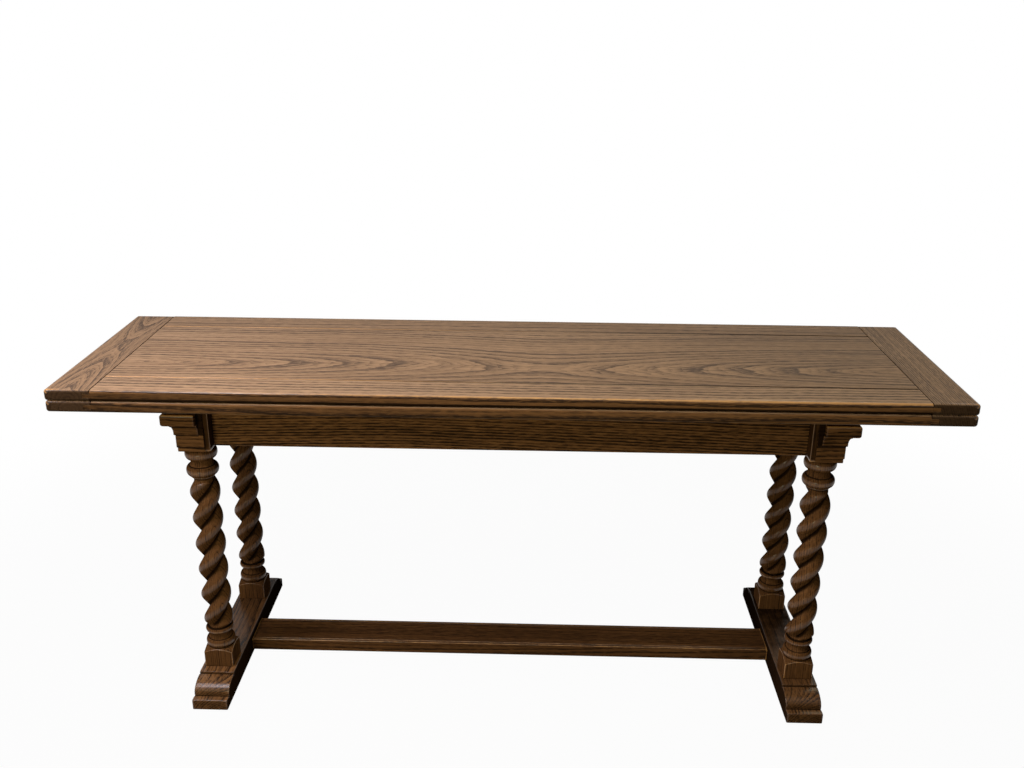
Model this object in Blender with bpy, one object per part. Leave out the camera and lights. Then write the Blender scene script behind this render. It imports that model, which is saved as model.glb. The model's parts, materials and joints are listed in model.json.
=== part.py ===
"""Fold-over dining table in dark oak.

Two equal leaves lie one on the other. The lower leaf slides forward on the frame by half its depth on
dovetailed runners, and the upper leaf then folds back on butt hinges along the rear edge. The frame is two
trestles, each with a pair of barley-twist legs on a sledge foot, joined by aprons and a low stretcher.
X runs along the table, Y from front to back, Z up. Lengths are metres.
"""
import math

import bmesh
import bpy
from mathutils import Matrix, Vector

# Clearance between pieces that touch
FIT = 0.0003

# Top
TOP_LENGTH = 1.840
TOP_DEPTH = 0.510
TABLE_HEIGHT = 0.757
LEAF_THICKNESS = 0.0235
LEAF_GAP = 0.0005
CLAMP_WIDTH = 0.092
STRIP_WIDTH = 0.082
TONGUE_LENGTH = 0.015
TONGUE_THICKNESS = 0.008
EDGE_ROUND = 0.0055
SEAM_CHAMFER = 0.0012

# Trestles
TRESTLE_SPACING = 1.3152
LEG_SPACING = 0.2826
BLOCK_WIDTH = 0.0634
TOP_BLOCK_HEIGHT = 0.117
FOOT_BLOCK_HEIGHT = 0.037
LEG_TENON_WIDTH = 0.032
LEG_TENON_LENGTH = 0.028

# Turned collars of a leg, from the foot block up
SHOULDER_HEIGHT = 0.009
SHOULDER_RADIUS = 0.028
FOOT_TORUS_HEIGHT = 0.020
FOOT_TORUS_RADIUS = 0.032
FOOT_NECK_HEIGHT = 0.017
NECK_RADIUS = 0.0236
NECK_FLARE = 0.003
FOOT_BEAD_HEIGHT = 0.011
FOOT_BEAD_RADIUS = 0.0307
HEAD_FILLET_HEIGHT = 0.003
HEAD_FILLET_RADIUS = 0.0295
HEAD_RING_HEIGHT = 0.0235
HEAD_NECK_HEIGHT = 0.016
HEAD_TORUS_HEIGHT = 0.0225
HEAD_TORUS_RADIUS = 0.0342
HEAD_BEAD_HEIGHT = 0.005
HEAD_BEAD_RADIUS = 0.0262

# Barley twist: two round strands wound about the axis of the leg
STRAND_RADIUS = 0.020
STRAND_OFFSET = 0.0122
TWIST_LEAD = 0.127
TWIST_BULGE_HEIGHT = 0.4778
TWIST_RUNOUT = 0.012
TWIST_END_RADIUS = 0.0225
TWIST_PHASES = {"front_left": 0.0, "front_right": -8.5, "rear_left": 7.0, "rear_right": -31.0}
RING_POINTS = 16
TWIST_STEP = 30.0

# Feet
FOOT_LENGTH = 0.5170
FOOT_WIDTH = 0.079
FOOT_HEIGHT = 0.053
TOE_LENGTH = 0.0155
TOE_HEIGHT = 0.0245
TOE_ROUND = 0.003
QUIRK_WIDTH = 0.0035
QUIRK_DEPTH = 0.003
OVOLO_LENGTH = 0.0425
OVOLO_HEIGHT = 0.0225
OVOLO_STEPS = 6

# Stretcher
STRETCHER_WIDTH = 0.090
STRETCHER_THICKNESS = 0.029
STRETCHER_BOTTOM = 0.011
STRETCHER_BEAD = 0.005
STRETCHER_QUIRK = 0.0025
STRETCHER_TENON_WIDTH = 0.050
STRETCHER_TENON_THICKNESS = 0.012
STRETCHER_TENON_LENGTH = 0.030

# Aprons and end rails
APRON_HEIGHT = 0.115
APRON_THICKNESS = 0.021
APRON_SETBACK = 0.026
END_RAIL_THICKNESS = 0.022
TENON_THICKNESS = 0.008
TENON_LENGTH = 0.022
TENON_SHOULDER = 0.014

# Cornice round the trestle heads: depths below the frame top and projections from the leg blocks
CORNICE_TOP_PROJECTION = 0.016
CORNICE_SLAB_TOP = 0.026
CORNICE_SLAB_BOTTOM = 0.052
CORNICE_SLAB_PROJECTION = 0.0248
CORNICE_SLAB_ROUND = 0.006
CORNICE_COVE_TOP = 0.012
CORNICE_COVE_FOOT = 0.0062
CORNICE_COVE_BOTTOM = 0.078
CORNICE_FILLET = 0.005
CORNICE_FASCIA_PROJECTION = 0.0036
CORNICE_FASCIA_BOTTOM = 0.107
CORNICE_BOTTOM = 0.117
CORNICE_FOOT_PROJECTION = 0.002
CORNICE_BARE_WIDTH = 0.0125
CORNICE_STEP = 0.0095

# Runners and their stops
RUNNER_SPACING = 0.840
RUNNER_TOP_WIDTH = 0.036
RUNNER_BOTTOM_WIDTH = 0.044
RUNNER_HEIGHT = 0.018
RUNNER_INSET = 0.060
STOP_PEG_RADIUS = 0.004
STOP_PEG_RISE = 0.008
STOP_PEG_SINK = 0.020
RUNNER_SCREW_SPACING = 0.130
RUNNER_SCREW_OFFSET = 0.012
RUNNER_SCREW_BITE = 0.012

# Hinges in the rear edges
HINGE_SPACING = 0.700
HINGE_WIDTH = 0.064
HINGE_PLATE_HEIGHT = 0.0165
HINGE_PLATE_THICKNESS = 0.0018
KNUCKLE_RADIUS = 0.003
PIN_RADIUS = 0.0012
PIN_CLEARANCE = 0.00025
HINGE_SCREW_SPACING = 0.044
HINGE_SCREW_BITE = 0.014

# Screws
SCREW_RADIUS = 0.0016
SCREW_HEAD_RADIUS = 0.0032
SCREW_HEAD_HEIGHT = 0.0015
SCREW_POINTS = 8

# Heights and places that follow from the sizes above
UPPER_LEAF_BOTTOM = TABLE_HEIGHT - LEAF_THICKNESS
LOWER_LEAF_TOP = UPPER_LEAF_BOTTOM - LEAF_GAP
LOWER_LEAF_BOTTOM = LOWER_LEAF_TOP - LEAF_THICKNESS
FRAME_TOP = LOWER_LEAF_BOTTOM - FIT
LEG_X = TRESTLE_SPACING / 2
LEG_Y = LEG_SPACING / 2
BLOCK_HALF = BLOCK_WIDTH / 2
APRON_FACE = LEG_Y + BLOCK_HALF - APRON_SETBACK
APRON_BACK = APRON_FACE - APRON_THICKNESS
SLIDE_TRAVEL = TOP_DEPTH / 2
RUNNER_TOP = LOWER_LEAF_BOTTOM - FIT
RUNNER_BOTTOM = RUNNER_TOP - RUNNER_HEIGHT
HINGE_Y = TOP_DEPTH / 2 + FIT
HINGE_Z = LOWER_LEAF_TOP + LEAF_GAP / 2
KNUCKLE_BAND = KNUCKLE_RADIUS + FIT
SIDES = {"left": -1, "right": 1}
ENDS = {"front": -1, "rear": 1}

# Finishes: colour, roughness, metallic
TOP_OAK = ((0.118, 0.066, 0.036), 0.38, 0.0)
FRAME_OAK = ((0.080, 0.036, 0.018), 0.42, 0.0)
PLAIN_OAK = ((0.190, 0.120, 0.065), 0.60, 0.0)
BRASS = ((0.420, 0.280, 0.110), 0.38, 1.0)


def start_scene():
    """Empty the scene and make the two collections."""
    for old in list(bpy.data.objects):
        bpy.data.objects.remove(old, do_unlink=True)
    table = bpy.data.collections.new("fold_over_table")
    cutters = bpy.data.collections.new("cutters")
    for group in (table, cutters):
        bpy.context.scene.collection.children.link(group)
    return table, cutters


TABLE, CUTTERS = start_scene()


def finish_material(name, finish):
    """Principled material of one sub-part."""
    colour, roughness, metallic = finish
    material = bpy.data.materials.new(name)
    material.use_nodes = True
    shader = material.node_tree.nodes["Principled BSDF"]
    shader.inputs["Base Color"].default_value = (*colour, 1.0)
    shader.inputs["Roughness"].default_value = roughness
    shader.inputs["Metallic"].default_value = metallic
    return material


def joint_empty(name, place, parent=None):
    """Empty that stands on a joint's axis and carries the moving pieces."""
    empty = bpy.data.objects.new(name, None)
    empty.location = place
    TABLE.objects.link(empty)
    bpy.context.view_layer.update()
    if parent:
        keep_place(empty, parent)
    return empty


def keep_place(child, parent):
    """Parent an object without moving it."""
    child.parent = parent
    child.matrix_parent_inverse = parent.matrix_world.inverted()
    bpy.context.view_layer.update()


def make_mesh(name, form):
    """Turn a bmesh into a mesh with its faces pointing out, which its signed volume tells."""
    bmesh.ops.recalc_face_normals(form, faces=form.faces)
    if form.calc_volume(signed=True) < 0:
        bmesh.ops.reverse_faces(form, faces=form.faces)
    mesh = bpy.data.meshes.new(name)
    form.to_mesh(mesh)
    form.free()
    return mesh


def add_part(name, form, finish, parent=None, smooth=False):
    """Make a named sub-part from a bmesh."""
    mesh = make_mesh(name, form)
    if smooth:
        mesh.shade_smooth()
        mesh.set_sharp_from_angle(angle=math.radians(35))
    mesh.materials.append(finish_material(name, finish))
    part = bpy.data.objects.new(name, mesh)
    TABLE.objects.link(part)
    if parent:
        keep_place(part, parent)
    return part


def shape(part, form, operation):
    """Cut a part with a bmesh, or join the bmesh to it, by a Boolean modifier."""
    name = f"{part.name}_{operation.lower()}_{len(part.modifiers)}"
    tool = bpy.data.objects.new(name, make_mesh(name, form))
    tool.hide_render = True
    tool.display_type = "WIRE"
    CUTTERS.objects.link(tool)
    if part.parent:
        keep_place(tool, part.parent)
    modifier = part.modifiers.new(name, "BOOLEAN")
    modifier.operation = operation
    modifier.object = tool


def cut(part, form):
    """Take a bmesh away from a part."""
    shape(part, form, "DIFFERENCE")


def join(part, form):
    """Add a bmesh to a part."""
    shape(part, form, "UNION")


def boxes(*corners):
    """Closed boxes, each given by two opposite corners."""
    form = bmesh.new()
    for first, second in corners:
        first, second = Vector(first), Vector(second)
        size = second - first
        place = Matrix.Translation((first + second) / 2) @ Matrix.Diagonal((*map(abs, size), 1.0))
        bmesh.ops.create_cube(form, size=1.0, matrix=place)
    return form


def rods(places, radius, direction, length, points=RING_POINTS):
    """Closed cylinders that start at the places and run along the direction."""
    form = bmesh.new()
    turn = Vector((0, 0, 1)).rotation_difference(Vector(direction)).to_matrix().to_4x4()
    for place in places:
        matrix = Matrix.Translation(place) @ turn @ Matrix.Translation((0, 0, length / 2))
        bmesh.ops.create_cone(form, cap_ends=True, segments=points, radius1=radius, radius2=radius,
                              depth=length, matrix=matrix)
    return form


def prism(outline, axis, low, high):
    """Flat outline carried from low to high along X or Y; its second coordinate is Z."""
    form = bmesh.new()
    along = Vector((1, 0, 0)) if axis == "X" else Vector((0, 1, 0))
    across = Vector((0, 1, 0)) if axis == "X" else Vector((1, 0, 0))
    up = Vector((0, 0, 1))
    verts = [form.verts.new(across * a + up * z + along * low) for a, z in outline]
    face = form.faces.new(verts)
    grown = bmesh.ops.extrude_face_region(form, geom=[face])
    moved = [item for item in grown["geom"] if isinstance(item, bmesh.types.BMVert)]
    bmesh.ops.translate(form, verts=moved, vec=along * (high - low))
    return form


def bevel(form, picked, width, segments):
    """Round or chamfer the edges whose two end points the test picks."""
    edges = [edge for edge in form.edges if picked(edge.verts[0].co, edge.verts[1].co)]
    bmesh.ops.bevel(form, geom=edges, offset=width, segments=segments, profile=0.5, affect="EDGES")


def same(value, *others):
    """Whether lengths agree to a hundredth of a millimetre."""
    return all(abs(value - other) < 0.00001 for other in others)


def loft(form, rings):
    """Skin rings of equal count from the lowest up and close both ends.

    Each face starts at its leading lower corner, so that a twisted face splits along its short diagonal.
    """
    loops = [[form.verts.new(point) for point in points] for points in rings]
    for lower, upper in zip(loops, loops[1:]):
        for i, start in enumerate(lower):
            j = (i + 1) % len(lower)
            form.faces.new((lower[j], upper[j], upper[i], start))
    form.faces.new(list(reversed(loops[0])))
    form.faces.new(loops[-1])


# Leaves


def leaf_outline(shoulder, bottom):
    """Side view of a board with a tongue on each end, in X and Z."""
    middle = bottom + LEAF_THICKNESS / 2
    tip = shoulder + TONGUE_LENGTH
    low = middle - TONGUE_THICKNESS / 2
    high = middle + TONGUE_THICKNESS / 2
    right = [(shoulder, bottom), (shoulder, low), (tip, low), (tip, high), (shoulder, high),
             (shoulder, bottom + LEAF_THICKNESS)]
    return right + [(-x, z) for x, z in reversed(right)]


def clamp_outline(inner, bottom, side):
    """Side view of an end clamp with the groove for the tongues, in X and Z."""
    middle = bottom + LEAF_THICKNESS / 2
    outer = TOP_LENGTH / 2
    floor = inner + TONGUE_LENGTH + FIT
    low = middle - TONGUE_THICKNESS / 2 - FIT
    high = middle + TONGUE_THICKNESS / 2 + FIT
    top = bottom + LEAF_THICKNESS
    outline = [(inner, bottom), (outer, bottom), (outer, top), (inner, top), (inner, high), (floor, high),
               (floor, low), (inner, low)]
    return [(side * x, z) for x, z in outline]


def leaf_boards(leaf, bottom, meeting, parent):
    """Panel, two strips and two clamps of a leaf; meeting is the face that lies on the other leaf."""
    inner = TOP_LENGTH / 2 - CLAMP_WIDTH
    shoulder = inner - FIT
    edge = TOP_DEPTH / 2
    seam = edge - STRIP_WIDTH
    faces = (bottom, bottom + LEAF_THICKNESS)

    def on_a_face(a, b):
        return same(a.z, b.z) and any(same(a.z, face) for face in faces)

    def seam_edge(a, b):
        return on_a_face(a, b) and same(a.y, b.y) and abs(a.y) < seam + 2 * FIT

    def outer_edge(a, b):
        upright = same(a.x, b.x) and same(a.y, b.y) and not same(a.z, b.z)
        if upright:
            return same(abs(a.x), TOP_LENGTH / 2)
        if not on_a_face(a, b):
            return False
        if same(a.y, b.y, edge) and same(a.z, meeting):
            return False
        return same(a.y, b.y, edge) or same(a.y, b.y, -edge) or same(abs(a.x), abs(b.x), TOP_LENGTH / 2)

    outline = leaf_outline(shoulder, bottom)
    panel = prism(outline, "Y", -seam + FIT, seam - FIT)
    bevel(panel, seam_edge, SEAM_CHAMFER, 1)
    add_part(f"{leaf}_leaf_panel", panel, TOP_OAK, parent)
    for end, way in ENDS.items():
        strip = prism(outline, "Y", way * seam, way * edge)
        bevel(strip, seam_edge, SEAM_CHAMFER, 1)
        bevel(strip, outer_edge, EDGE_ROUND, 3)
        add_part(f"{leaf}_leaf_{end}_strip", strip, TOP_OAK, parent)
    for side, way in SIDES.items():
        clamp = prism(clamp_outline(inner, bottom, way), "Y", -edge, edge)
        bevel(clamp, outer_edge, EDGE_ROUND, 3)
        add_part(f"{leaf}_leaf_{side}_clamp", clamp, TOP_OAK, parent)


# Barley-twist legs


def bead(low, height, core, swell, steps=4):
    """Heights and radii of a turned bead: half an ellipse standing on a core."""
    profile = []
    for i in range(steps + 1):
        angle = math.pi * i / steps
        profile.append((low + height * (1 - math.cos(angle)) / 2, core + (swell - core) * math.sin(angle)))
    return profile


def round_ring(z, radius, turn):
    """Circle of points at a height."""
    angles = [turn + math.tau * i / RING_POINTS for i in range(RING_POINTS)]
    return [Vector((radius * math.cos(a), radius * math.sin(a), z)) for a in angles]


def square_ring(z, half, turn, limit=1.0):
    """Square of points at a height, with its corners turned down to a limit radius."""
    points = []
    for i in range(RING_POINTS):
        angle = turn + math.tau * i / RING_POINTS
        radius = min(half / max(abs(math.cos(angle)), abs(math.sin(angle))), limit)
        points.append(Vector((radius * math.cos(angle), radius * math.sin(angle), z)))
    return points


def strand_radius(angle):
    """Distance from the axis to the skin of two overlapping round strands."""
    reach = STRAND_OFFSET * abs(math.cos(angle))
    return reach + math.sqrt(STRAND_RADIUS ** 2 - (STRAND_OFFSET * math.sin(angle)) ** 2)


def twist_rings(low, high, phase):
    """Rings of the twist; each keeps its place on the strands, which turn by one lead per full turn."""
    bulge = TWIST_BULGE_HEIGHT
    turns = (high - low) / TWIST_LEAD
    count = math.ceil(360.0 * turns / TWIST_STEP)
    rings = []
    for k in range(count + 1):
        z = low + (high - low) * k / count
        turn = math.radians(phase) + math.tau * (z - bulge) / TWIST_LEAD
        depth = min(1.0, (z - low) / TWIST_RUNOUT, (high - z) / TWIST_RUNOUT)
        points = []
        for i in range(RING_POINTS):
            angle = math.tau * i / RING_POINTS
            radius = TWIST_END_RADIUS + depth * (strand_radius(angle) - TWIST_END_RADIUS)
            points.append(Vector((radius * math.cos(angle + turn), radius * math.sin(angle + turn), z)))
        rings.append((turn, points))
    return rings


def leg_rings(phase):
    """All rings of a leg from the tip of its tenon to the frame top."""
    foot = FOOT_HEIGHT + FIT
    shoulder = foot + FOOT_BLOCK_HEIGHT
    torus = shoulder + SHOULDER_HEIGHT
    neck = torus + FOOT_TORUS_HEIGHT
    low_bead = neck + FOOT_NECK_HEIGHT
    twist_low = low_bead + FOOT_BEAD_HEIGHT
    block = FRAME_TOP - TOP_BLOCK_HEIGHT
    ring = block - HEAD_FILLET_HEIGHT - HEAD_RING_HEIGHT
    head_torus = ring - HEAD_NECK_HEIGHT - HEAD_TORUS_HEIGHT
    twist_high = head_torus - HEAD_BEAD_HEIGHT
    twist = twist_rings(twist_low, twist_high, phase)
    step = math.tau / RING_POINTS
    first, last = twist[0][0], twist[-1][0]
    square_first, square_last = round(first / step) * step, round(last / step) * step

    tenon_half = LEG_TENON_WIDTH / 2
    rings = [square_ring(foot - LEG_TENON_LENGTH, tenon_half, square_first)]
    rings.append(square_ring(foot, tenon_half, square_first))
    rings.append(square_ring(foot, BLOCK_HALF, square_first))
    corner = BLOCK_HALF * math.sqrt(2)
    for i in range(4):
        limit = corner + (SHOULDER_RADIUS - corner) * i / 3
        height = shoulder + SHOULDER_HEIGHT * i / 3
        rings.append(square_ring(height, BLOCK_HALF, square_first, limit))
    neck_end = NECK_RADIUS + NECK_FLARE
    below = bead(torus, FOOT_TORUS_HEIGHT, neck_end, FOOT_TORUS_RADIUS)
    below.append((neck + FOOT_NECK_HEIGHT / 2, NECK_RADIUS))
    below += bead(low_bead, FOOT_BEAD_HEIGHT, neck_end, FOOT_BEAD_RADIUS)
    rings += [round_ring(z, radius, first) for z, radius in below]
    rings += [points for turn, points in twist]
    above = bead(twist_high, HEAD_BEAD_HEIGHT, TWIST_END_RADIUS, HEAD_BEAD_RADIUS, 2)[1:]
    above += bead(head_torus, HEAD_TORUS_HEIGHT, neck_end, HEAD_TORUS_RADIUS)
    above.append((ring - HEAD_NECK_HEIGHT / 2, NECK_RADIUS))
    above += bead(ring, HEAD_RING_HEIGHT, neck_end, HEAD_TORUS_RADIUS)
    above.append((block - HEAD_FILLET_HEIGHT, HEAD_FILLET_RADIUS))
    above.append((block, HEAD_FILLET_RADIUS))
    rings += [round_ring(z, radius, last) for z, radius in above]
    rings.append(square_ring(block, BLOCK_HALF, square_last))
    rings.append(square_ring(FRAME_TOP, BLOCK_HALF, square_last))
    return rings


def legs():
    """Four legs, each with mortises for an apron and an end rail."""
    for end, back in ENDS.items():
        for side, out in SIDES.items():
            place = f"{end}_{side}"
            form = bmesh.new()
            loft(form, leg_rings(TWIST_PHASES[place]))
            bmesh.ops.translate(form, verts=form.verts, vec=(out * LEG_X, back * LEG_Y, 0))
            leg = add_part(f"{place}_leg", form, FRAME_OAK, smooth=True)
            inner = LEG_X - BLOCK_HALF
            apron = tenon_span(APRON_FACE - APRON_THICKNESS / 2)
            rail = tenon_span(LEG_X + BLOCK_HALF - END_RAIL_THICKNESS / 2)
            inside = LEG_Y - BLOCK_HALF
            low, high = tenon_heights(FIT)
            depth = TENON_LENGTH + FIT
            cut(leg, boxes(((out * (inner - FIT), back * apron[0], low),
                            (out * (inner + depth), back * apron[1], high)),
                           ((out * rail[0], back * (inside - FIT), low),
                            (out * rail[1], back * (inside + depth), high))))


# Aprons and end rails


def tenon_span(middle, clearance=FIT):
    """Both faces of a tenon or mortise about its middle plane."""
    half = TENON_THICKNESS / 2 + clearance
    return middle - half, middle + half


def tenon_heights(clearance=0.0):
    """Lower and upper edge of the tenons of aprons and rails."""
    low = FRAME_TOP - APRON_HEIGHT + TENON_SHOULDER
    return low - clearance, FRAME_TOP - TENON_SHOULDER + clearance


def dovetail(grow):
    """Outline of a runner grown by a clearance, in X about its middle and Z."""
    top = RUNNER_TOP_WIDTH / 2 + grow
    bottom = RUNNER_BOTTOM_WIDTH / 2 + grow
    low = RUNNER_BOTTOM - grow
    return [(-bottom, low), (bottom, low), (top, RUNNER_TOP), (-top, RUNNER_TOP)]


def runner_notches():
    """Dovetailed notches for both runners, through both aprons and past the frame top."""
    form = bmesh.new()
    for way in SIDES.values():
        outline = dovetail(FIT)
        slope = (outline[1][0] - outline[2][0]) / RUNNER_HEIGHT
        over = outline[2][0] - slope * FIT
        outline[2:] = [(over, RUNNER_TOP + FIT), (-over, RUNNER_TOP + FIT)]
        shifted = [(x + way * RUNNER_SPACING / 2, z) for x, z in outline]
        notch = make_mesh("notch", prism(shifted, "Y", -LEG_Y - BLOCK_HALF, LEG_Y + BLOCK_HALF))
        form.from_mesh(notch)
        bpy.data.meshes.remove(notch)
    return form


def aprons():
    """Front and rear aprons, notched for the runners and tenoned into the leg blocks."""
    reach = LEG_X - BLOCK_HALF - FIT
    bottom = FRAME_TOP - APRON_HEIGHT
    low, high = tenon_heights()
    peg_hole = STOP_PEG_RADIUS + FIT
    for end, way in ENDS.items():
        faces = sorted((way * APRON_BACK, way * APRON_FACE))
        board = boxes(((-reach, faces[0], bottom), (reach, faces[1], FRAME_TOP)))
        apron = add_part(f"{end}_apron", board, FRAME_OAK)
        span = tenon_span(APRON_FACE - APRON_THICKNESS / 2, 0.0)
        root = reach - TENON_LENGTH
        tip = reach + TENON_LENGTH
        join(apron, boxes(*[((out * root, way * span[0], low), (out * tip, way * span[1], high))
                            for out in SIDES.values()]))
        cut(apron, runner_notches())
        if end == "front":
            cut(apron, rods(stop_places(), peg_hole, (0, 0, 1), STOP_PEG_SINK + RUNNER_HEIGHT))


def stop_places():
    """Feet of the stop pegs, in the floors of the front apron's notches."""
    middle = -APRON_FACE + APRON_THICKNESS / 2
    foot = RUNNER_BOTTOM - FIT - STOP_PEG_SINK
    return [Vector((way * RUNNER_SPACING / 2, middle, foot)) for way in SIDES.values()]


def stop_pegs():
    """Dowels that stop the runners at both ends of their grooves."""
    for side, place in zip(SIDES, stop_places()):
        seat = place + Vector((0, 0, FIT))
        length = STOP_PEG_SINK + STOP_PEG_RISE
        peg = rods([seat], STOP_PEG_RADIUS, (0, 0, 1), length)
        add_part(f"{side}_stop_peg", peg, PLAIN_OAK, smooth=True)


def end_rails():
    """Rails between the two legs of each trestle, flush with the outer faces of the blocks."""
    reach = LEG_Y - BLOCK_HALF - FIT
    outer = LEG_X + BLOCK_HALF
    bottom = FRAME_TOP - APRON_HEIGHT
    low, high = tenon_heights()
    span = tenon_span(outer - END_RAIL_THICKNESS / 2, 0.0)
    root = reach - TENON_LENGTH
    tip = reach + TENON_LENGTH
    for side, way in SIDES.items():
        inner = outer - END_RAIL_THICKNESS
        board = boxes(((way * inner, -reach, bottom), (way * outer, reach, FRAME_TOP)))
        rail = add_part(f"{side}_end_rail", board, FRAME_OAK)
        join(rail, boxes(*[((way * span[0], back * root, low), (way * span[1], back * tip, high))
                           for back in ENDS.values()]))


# Cornice


def cornice_outline():
    """Moulding as projection from the leg block and height, from the top of its back round its face."""
    top = FRAME_TOP
    slab_top, slab_bottom = top - CORNICE_SLAB_TOP, top - CORNICE_SLAB_BOTTOM
    cove_bottom = top - CORNICE_COVE_BOTTOM
    fascia_bottom = top - CORNICE_FASCIA_BOTTOM
    face, curve = CORNICE_SLAB_PROJECTION, CORNICE_SLAB_ROUND
    outline = [(FIT, top), (CORNICE_TOP_PROJECTION, top), (CORNICE_TOP_PROJECTION, slab_top)]
    for start, centre in ((math.pi / 2, slab_top - curve), (0.0, slab_bottom + curve)):
        for i in range(4):
            angle = start - math.pi / 2 * i / 3
            outline.append((face - curve + curve * math.cos(angle), centre + curve * math.sin(angle)))
    outline.append((CORNICE_COVE_TOP, slab_bottom))
    cove_low = cove_bottom + CORNICE_FILLET
    cove_height = slab_bottom - CORNICE_FILLET - cove_low
    cove_depth = CORNICE_COVE_TOP - CORNICE_COVE_FOOT
    for i in range(4):
        angle = math.pi / 2 * i / 3
        out = CORNICE_COVE_TOP - cove_depth * math.sin(angle)
        outline.append((out, cove_low + cove_height * math.cos(angle)))
    outline.append((CORNICE_COVE_FOOT, cove_bottom))
    outline.append((CORNICE_FASCIA_PROJECTION, cove_bottom))
    outline.append((CORNICE_FASCIA_PROJECTION, fascia_bottom))
    outline.append((CORNICE_FOOT_PROJECTION, fascia_bottom))
    outline.append((CORNICE_FOOT_PROJECTION, top - CORNICE_BOTTOM))
    outline.append((FIT, top - CORNICE_BOTTOM))
    return outline


def moulding(start, end, mitre_start, mitre_end):
    """Cornice length along X with its face towards -Y and its back on Y = 0, mitred where asked."""
    form = prism([(-out, z) for out, z in cornice_outline()], "X", start, end)
    for vert in form.verts:
        out = -vert.co.y
        if mitre_start and same(vert.co.x, start):
            vert.co.x -= out
        elif mitre_end and same(vert.co.x, end):
            vert.co.x += out
    return form


def free_end(way, back):
    """What is cut from the inner end of a return, so that its slab and cove stop short of its fascia."""
    inner = LEG_X - BLOCK_HALF + CORNICE_BARE_WIDTH
    face = LEG_Y + BLOCK_HALF + CORNICE_FASCIA_PROJECTION + FIT
    low = FRAME_TOP - CORNICE_COVE_BOTTOM - CORNICE_FILLET
    return boxes(((way * (inner - CORNICE_FILLET), back * face, low),
                  (way * (inner + CORNICE_STEP), back * (face + CORNICE_SLAB_PROJECTION), FRAME_TOP + CORNICE_FILLET)))


def cornices():
    """Three mitred lengths round the front, outside and rear of each trestle head."""
    inner = LEG_X - BLOCK_HALF + CORNICE_BARE_WIDTH
    outer = LEG_X + BLOCK_HALF
    gap = FIT / 2
    for side, way in SIDES.items():
        for end, back in ENDS.items():
            if way * back < 0:
                form = moulding(inner, outer - gap, False, True)
            else:
                form = moulding(-outer + gap, -inner, True, False)
            turn = Matrix.Rotation(math.pi if back > 0 else 0.0, 4, "Z")
            form.transform(Matrix.Translation((0, back * (LEG_Y + BLOCK_HALF), 0)) @ turn)
            length = add_part(f"{end}_{side}_cornice_return", form, FRAME_OAK)
            cut(length, free_end(way, back))
        reach = LEG_Y + BLOCK_HALF - gap
        form = moulding(-reach, reach, True, True)
        form.transform(Matrix.Translation((way * outer, 0, 0)) @ Matrix.Rotation(way * math.pi / 2, 4, "Z"))
        add_part(f"{side}_cornice", form, FRAME_OAK)


# Feet and stretcher


def foot_half_outline():
    """Front half of a sledge foot's side view in Y and Z, from the floor to its flat top."""
    tip = -FOOT_LENGTH / 2
    toe_back = tip + TOE_LENGTH
    ovolo = toe_back + QUIRK_WIDTH
    ovolo_low = FOOT_HEIGHT - QUIRK_DEPTH - OVOLO_HEIGHT
    crown = ovolo + OVOLO_LENGTH
    outline = [(tip, 0.0)]
    for i in range(4):
        angle = math.pi / 2 * i / 3
        back, down = TOE_ROUND * (1 - math.cos(angle)), TOE_ROUND * (1 - math.sin(angle))
        outline.append((tip + back, TOE_HEIGHT - down))
    outline += [(toe_back, TOE_HEIGHT), (toe_back, TOE_HEIGHT - QUIRK_DEPTH)]
    outline.append((ovolo, TOE_HEIGHT - QUIRK_DEPTH))
    for i in range(OVOLO_STEPS + 1):
        angle = math.pi / 2 * i / OVOLO_STEPS
        outline.append((crown - OVOLO_LENGTH * math.cos(angle), ovolo_low + OVOLO_HEIGHT * math.sin(angle)))
    outline.append((crown, FOOT_HEIGHT - 2 * QUIRK_DEPTH))
    outline.append((crown + QUIRK_WIDTH, FOOT_HEIGHT - 2 * QUIRK_DEPTH))
    outline.append((crown + QUIRK_WIDTH, FOOT_HEIGHT))
    return outline


def feet():
    """Sledge feet with mortises for two legs and the stretcher."""
    half = foot_half_outline()
    outline = half + [(-y, z) for y, z in reversed(half)]
    leg_half = LEG_TENON_WIDTH / 2 + FIT
    leg_floor = FOOT_HEIGHT - LEG_TENON_LENGTH - FIT
    inner = LEG_X - FOOT_WIDTH / 2
    wide = STRETCHER_TENON_WIDTH / 2 + FIT
    low, high = stretcher_tenon_heights(FIT)
    for side, way in SIDES.items():
        faces = sorted((way * inner, way * (inner + FOOT_WIDTH)))
        foot = add_part(f"{side}_foot", prism(outline, "X", *faces), FRAME_OAK)
        sockets = [((way * LEG_X - leg_half, back * LEG_Y - leg_half, leg_floor),
                    (way * LEG_X + leg_half, back * LEG_Y + leg_half, FOOT_HEIGHT + FIT))
                   for back in ENDS.values()]
        floor = inner + STRETCHER_TENON_LENGTH + FIT
        sockets.append(((way * (inner - FIT), -wide, low), (way * floor, wide, high)))
        cut(foot, boxes(*sockets))


def stretcher_tenon_heights(clearance):
    """Lower and upper face of the stretcher's tenons or their mortises."""
    middle = STRETCHER_BOTTOM + STRETCHER_THICKNESS / 2
    half = STRETCHER_TENON_THICKNESS / 2 + clearance
    return middle - half, middle + half


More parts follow.
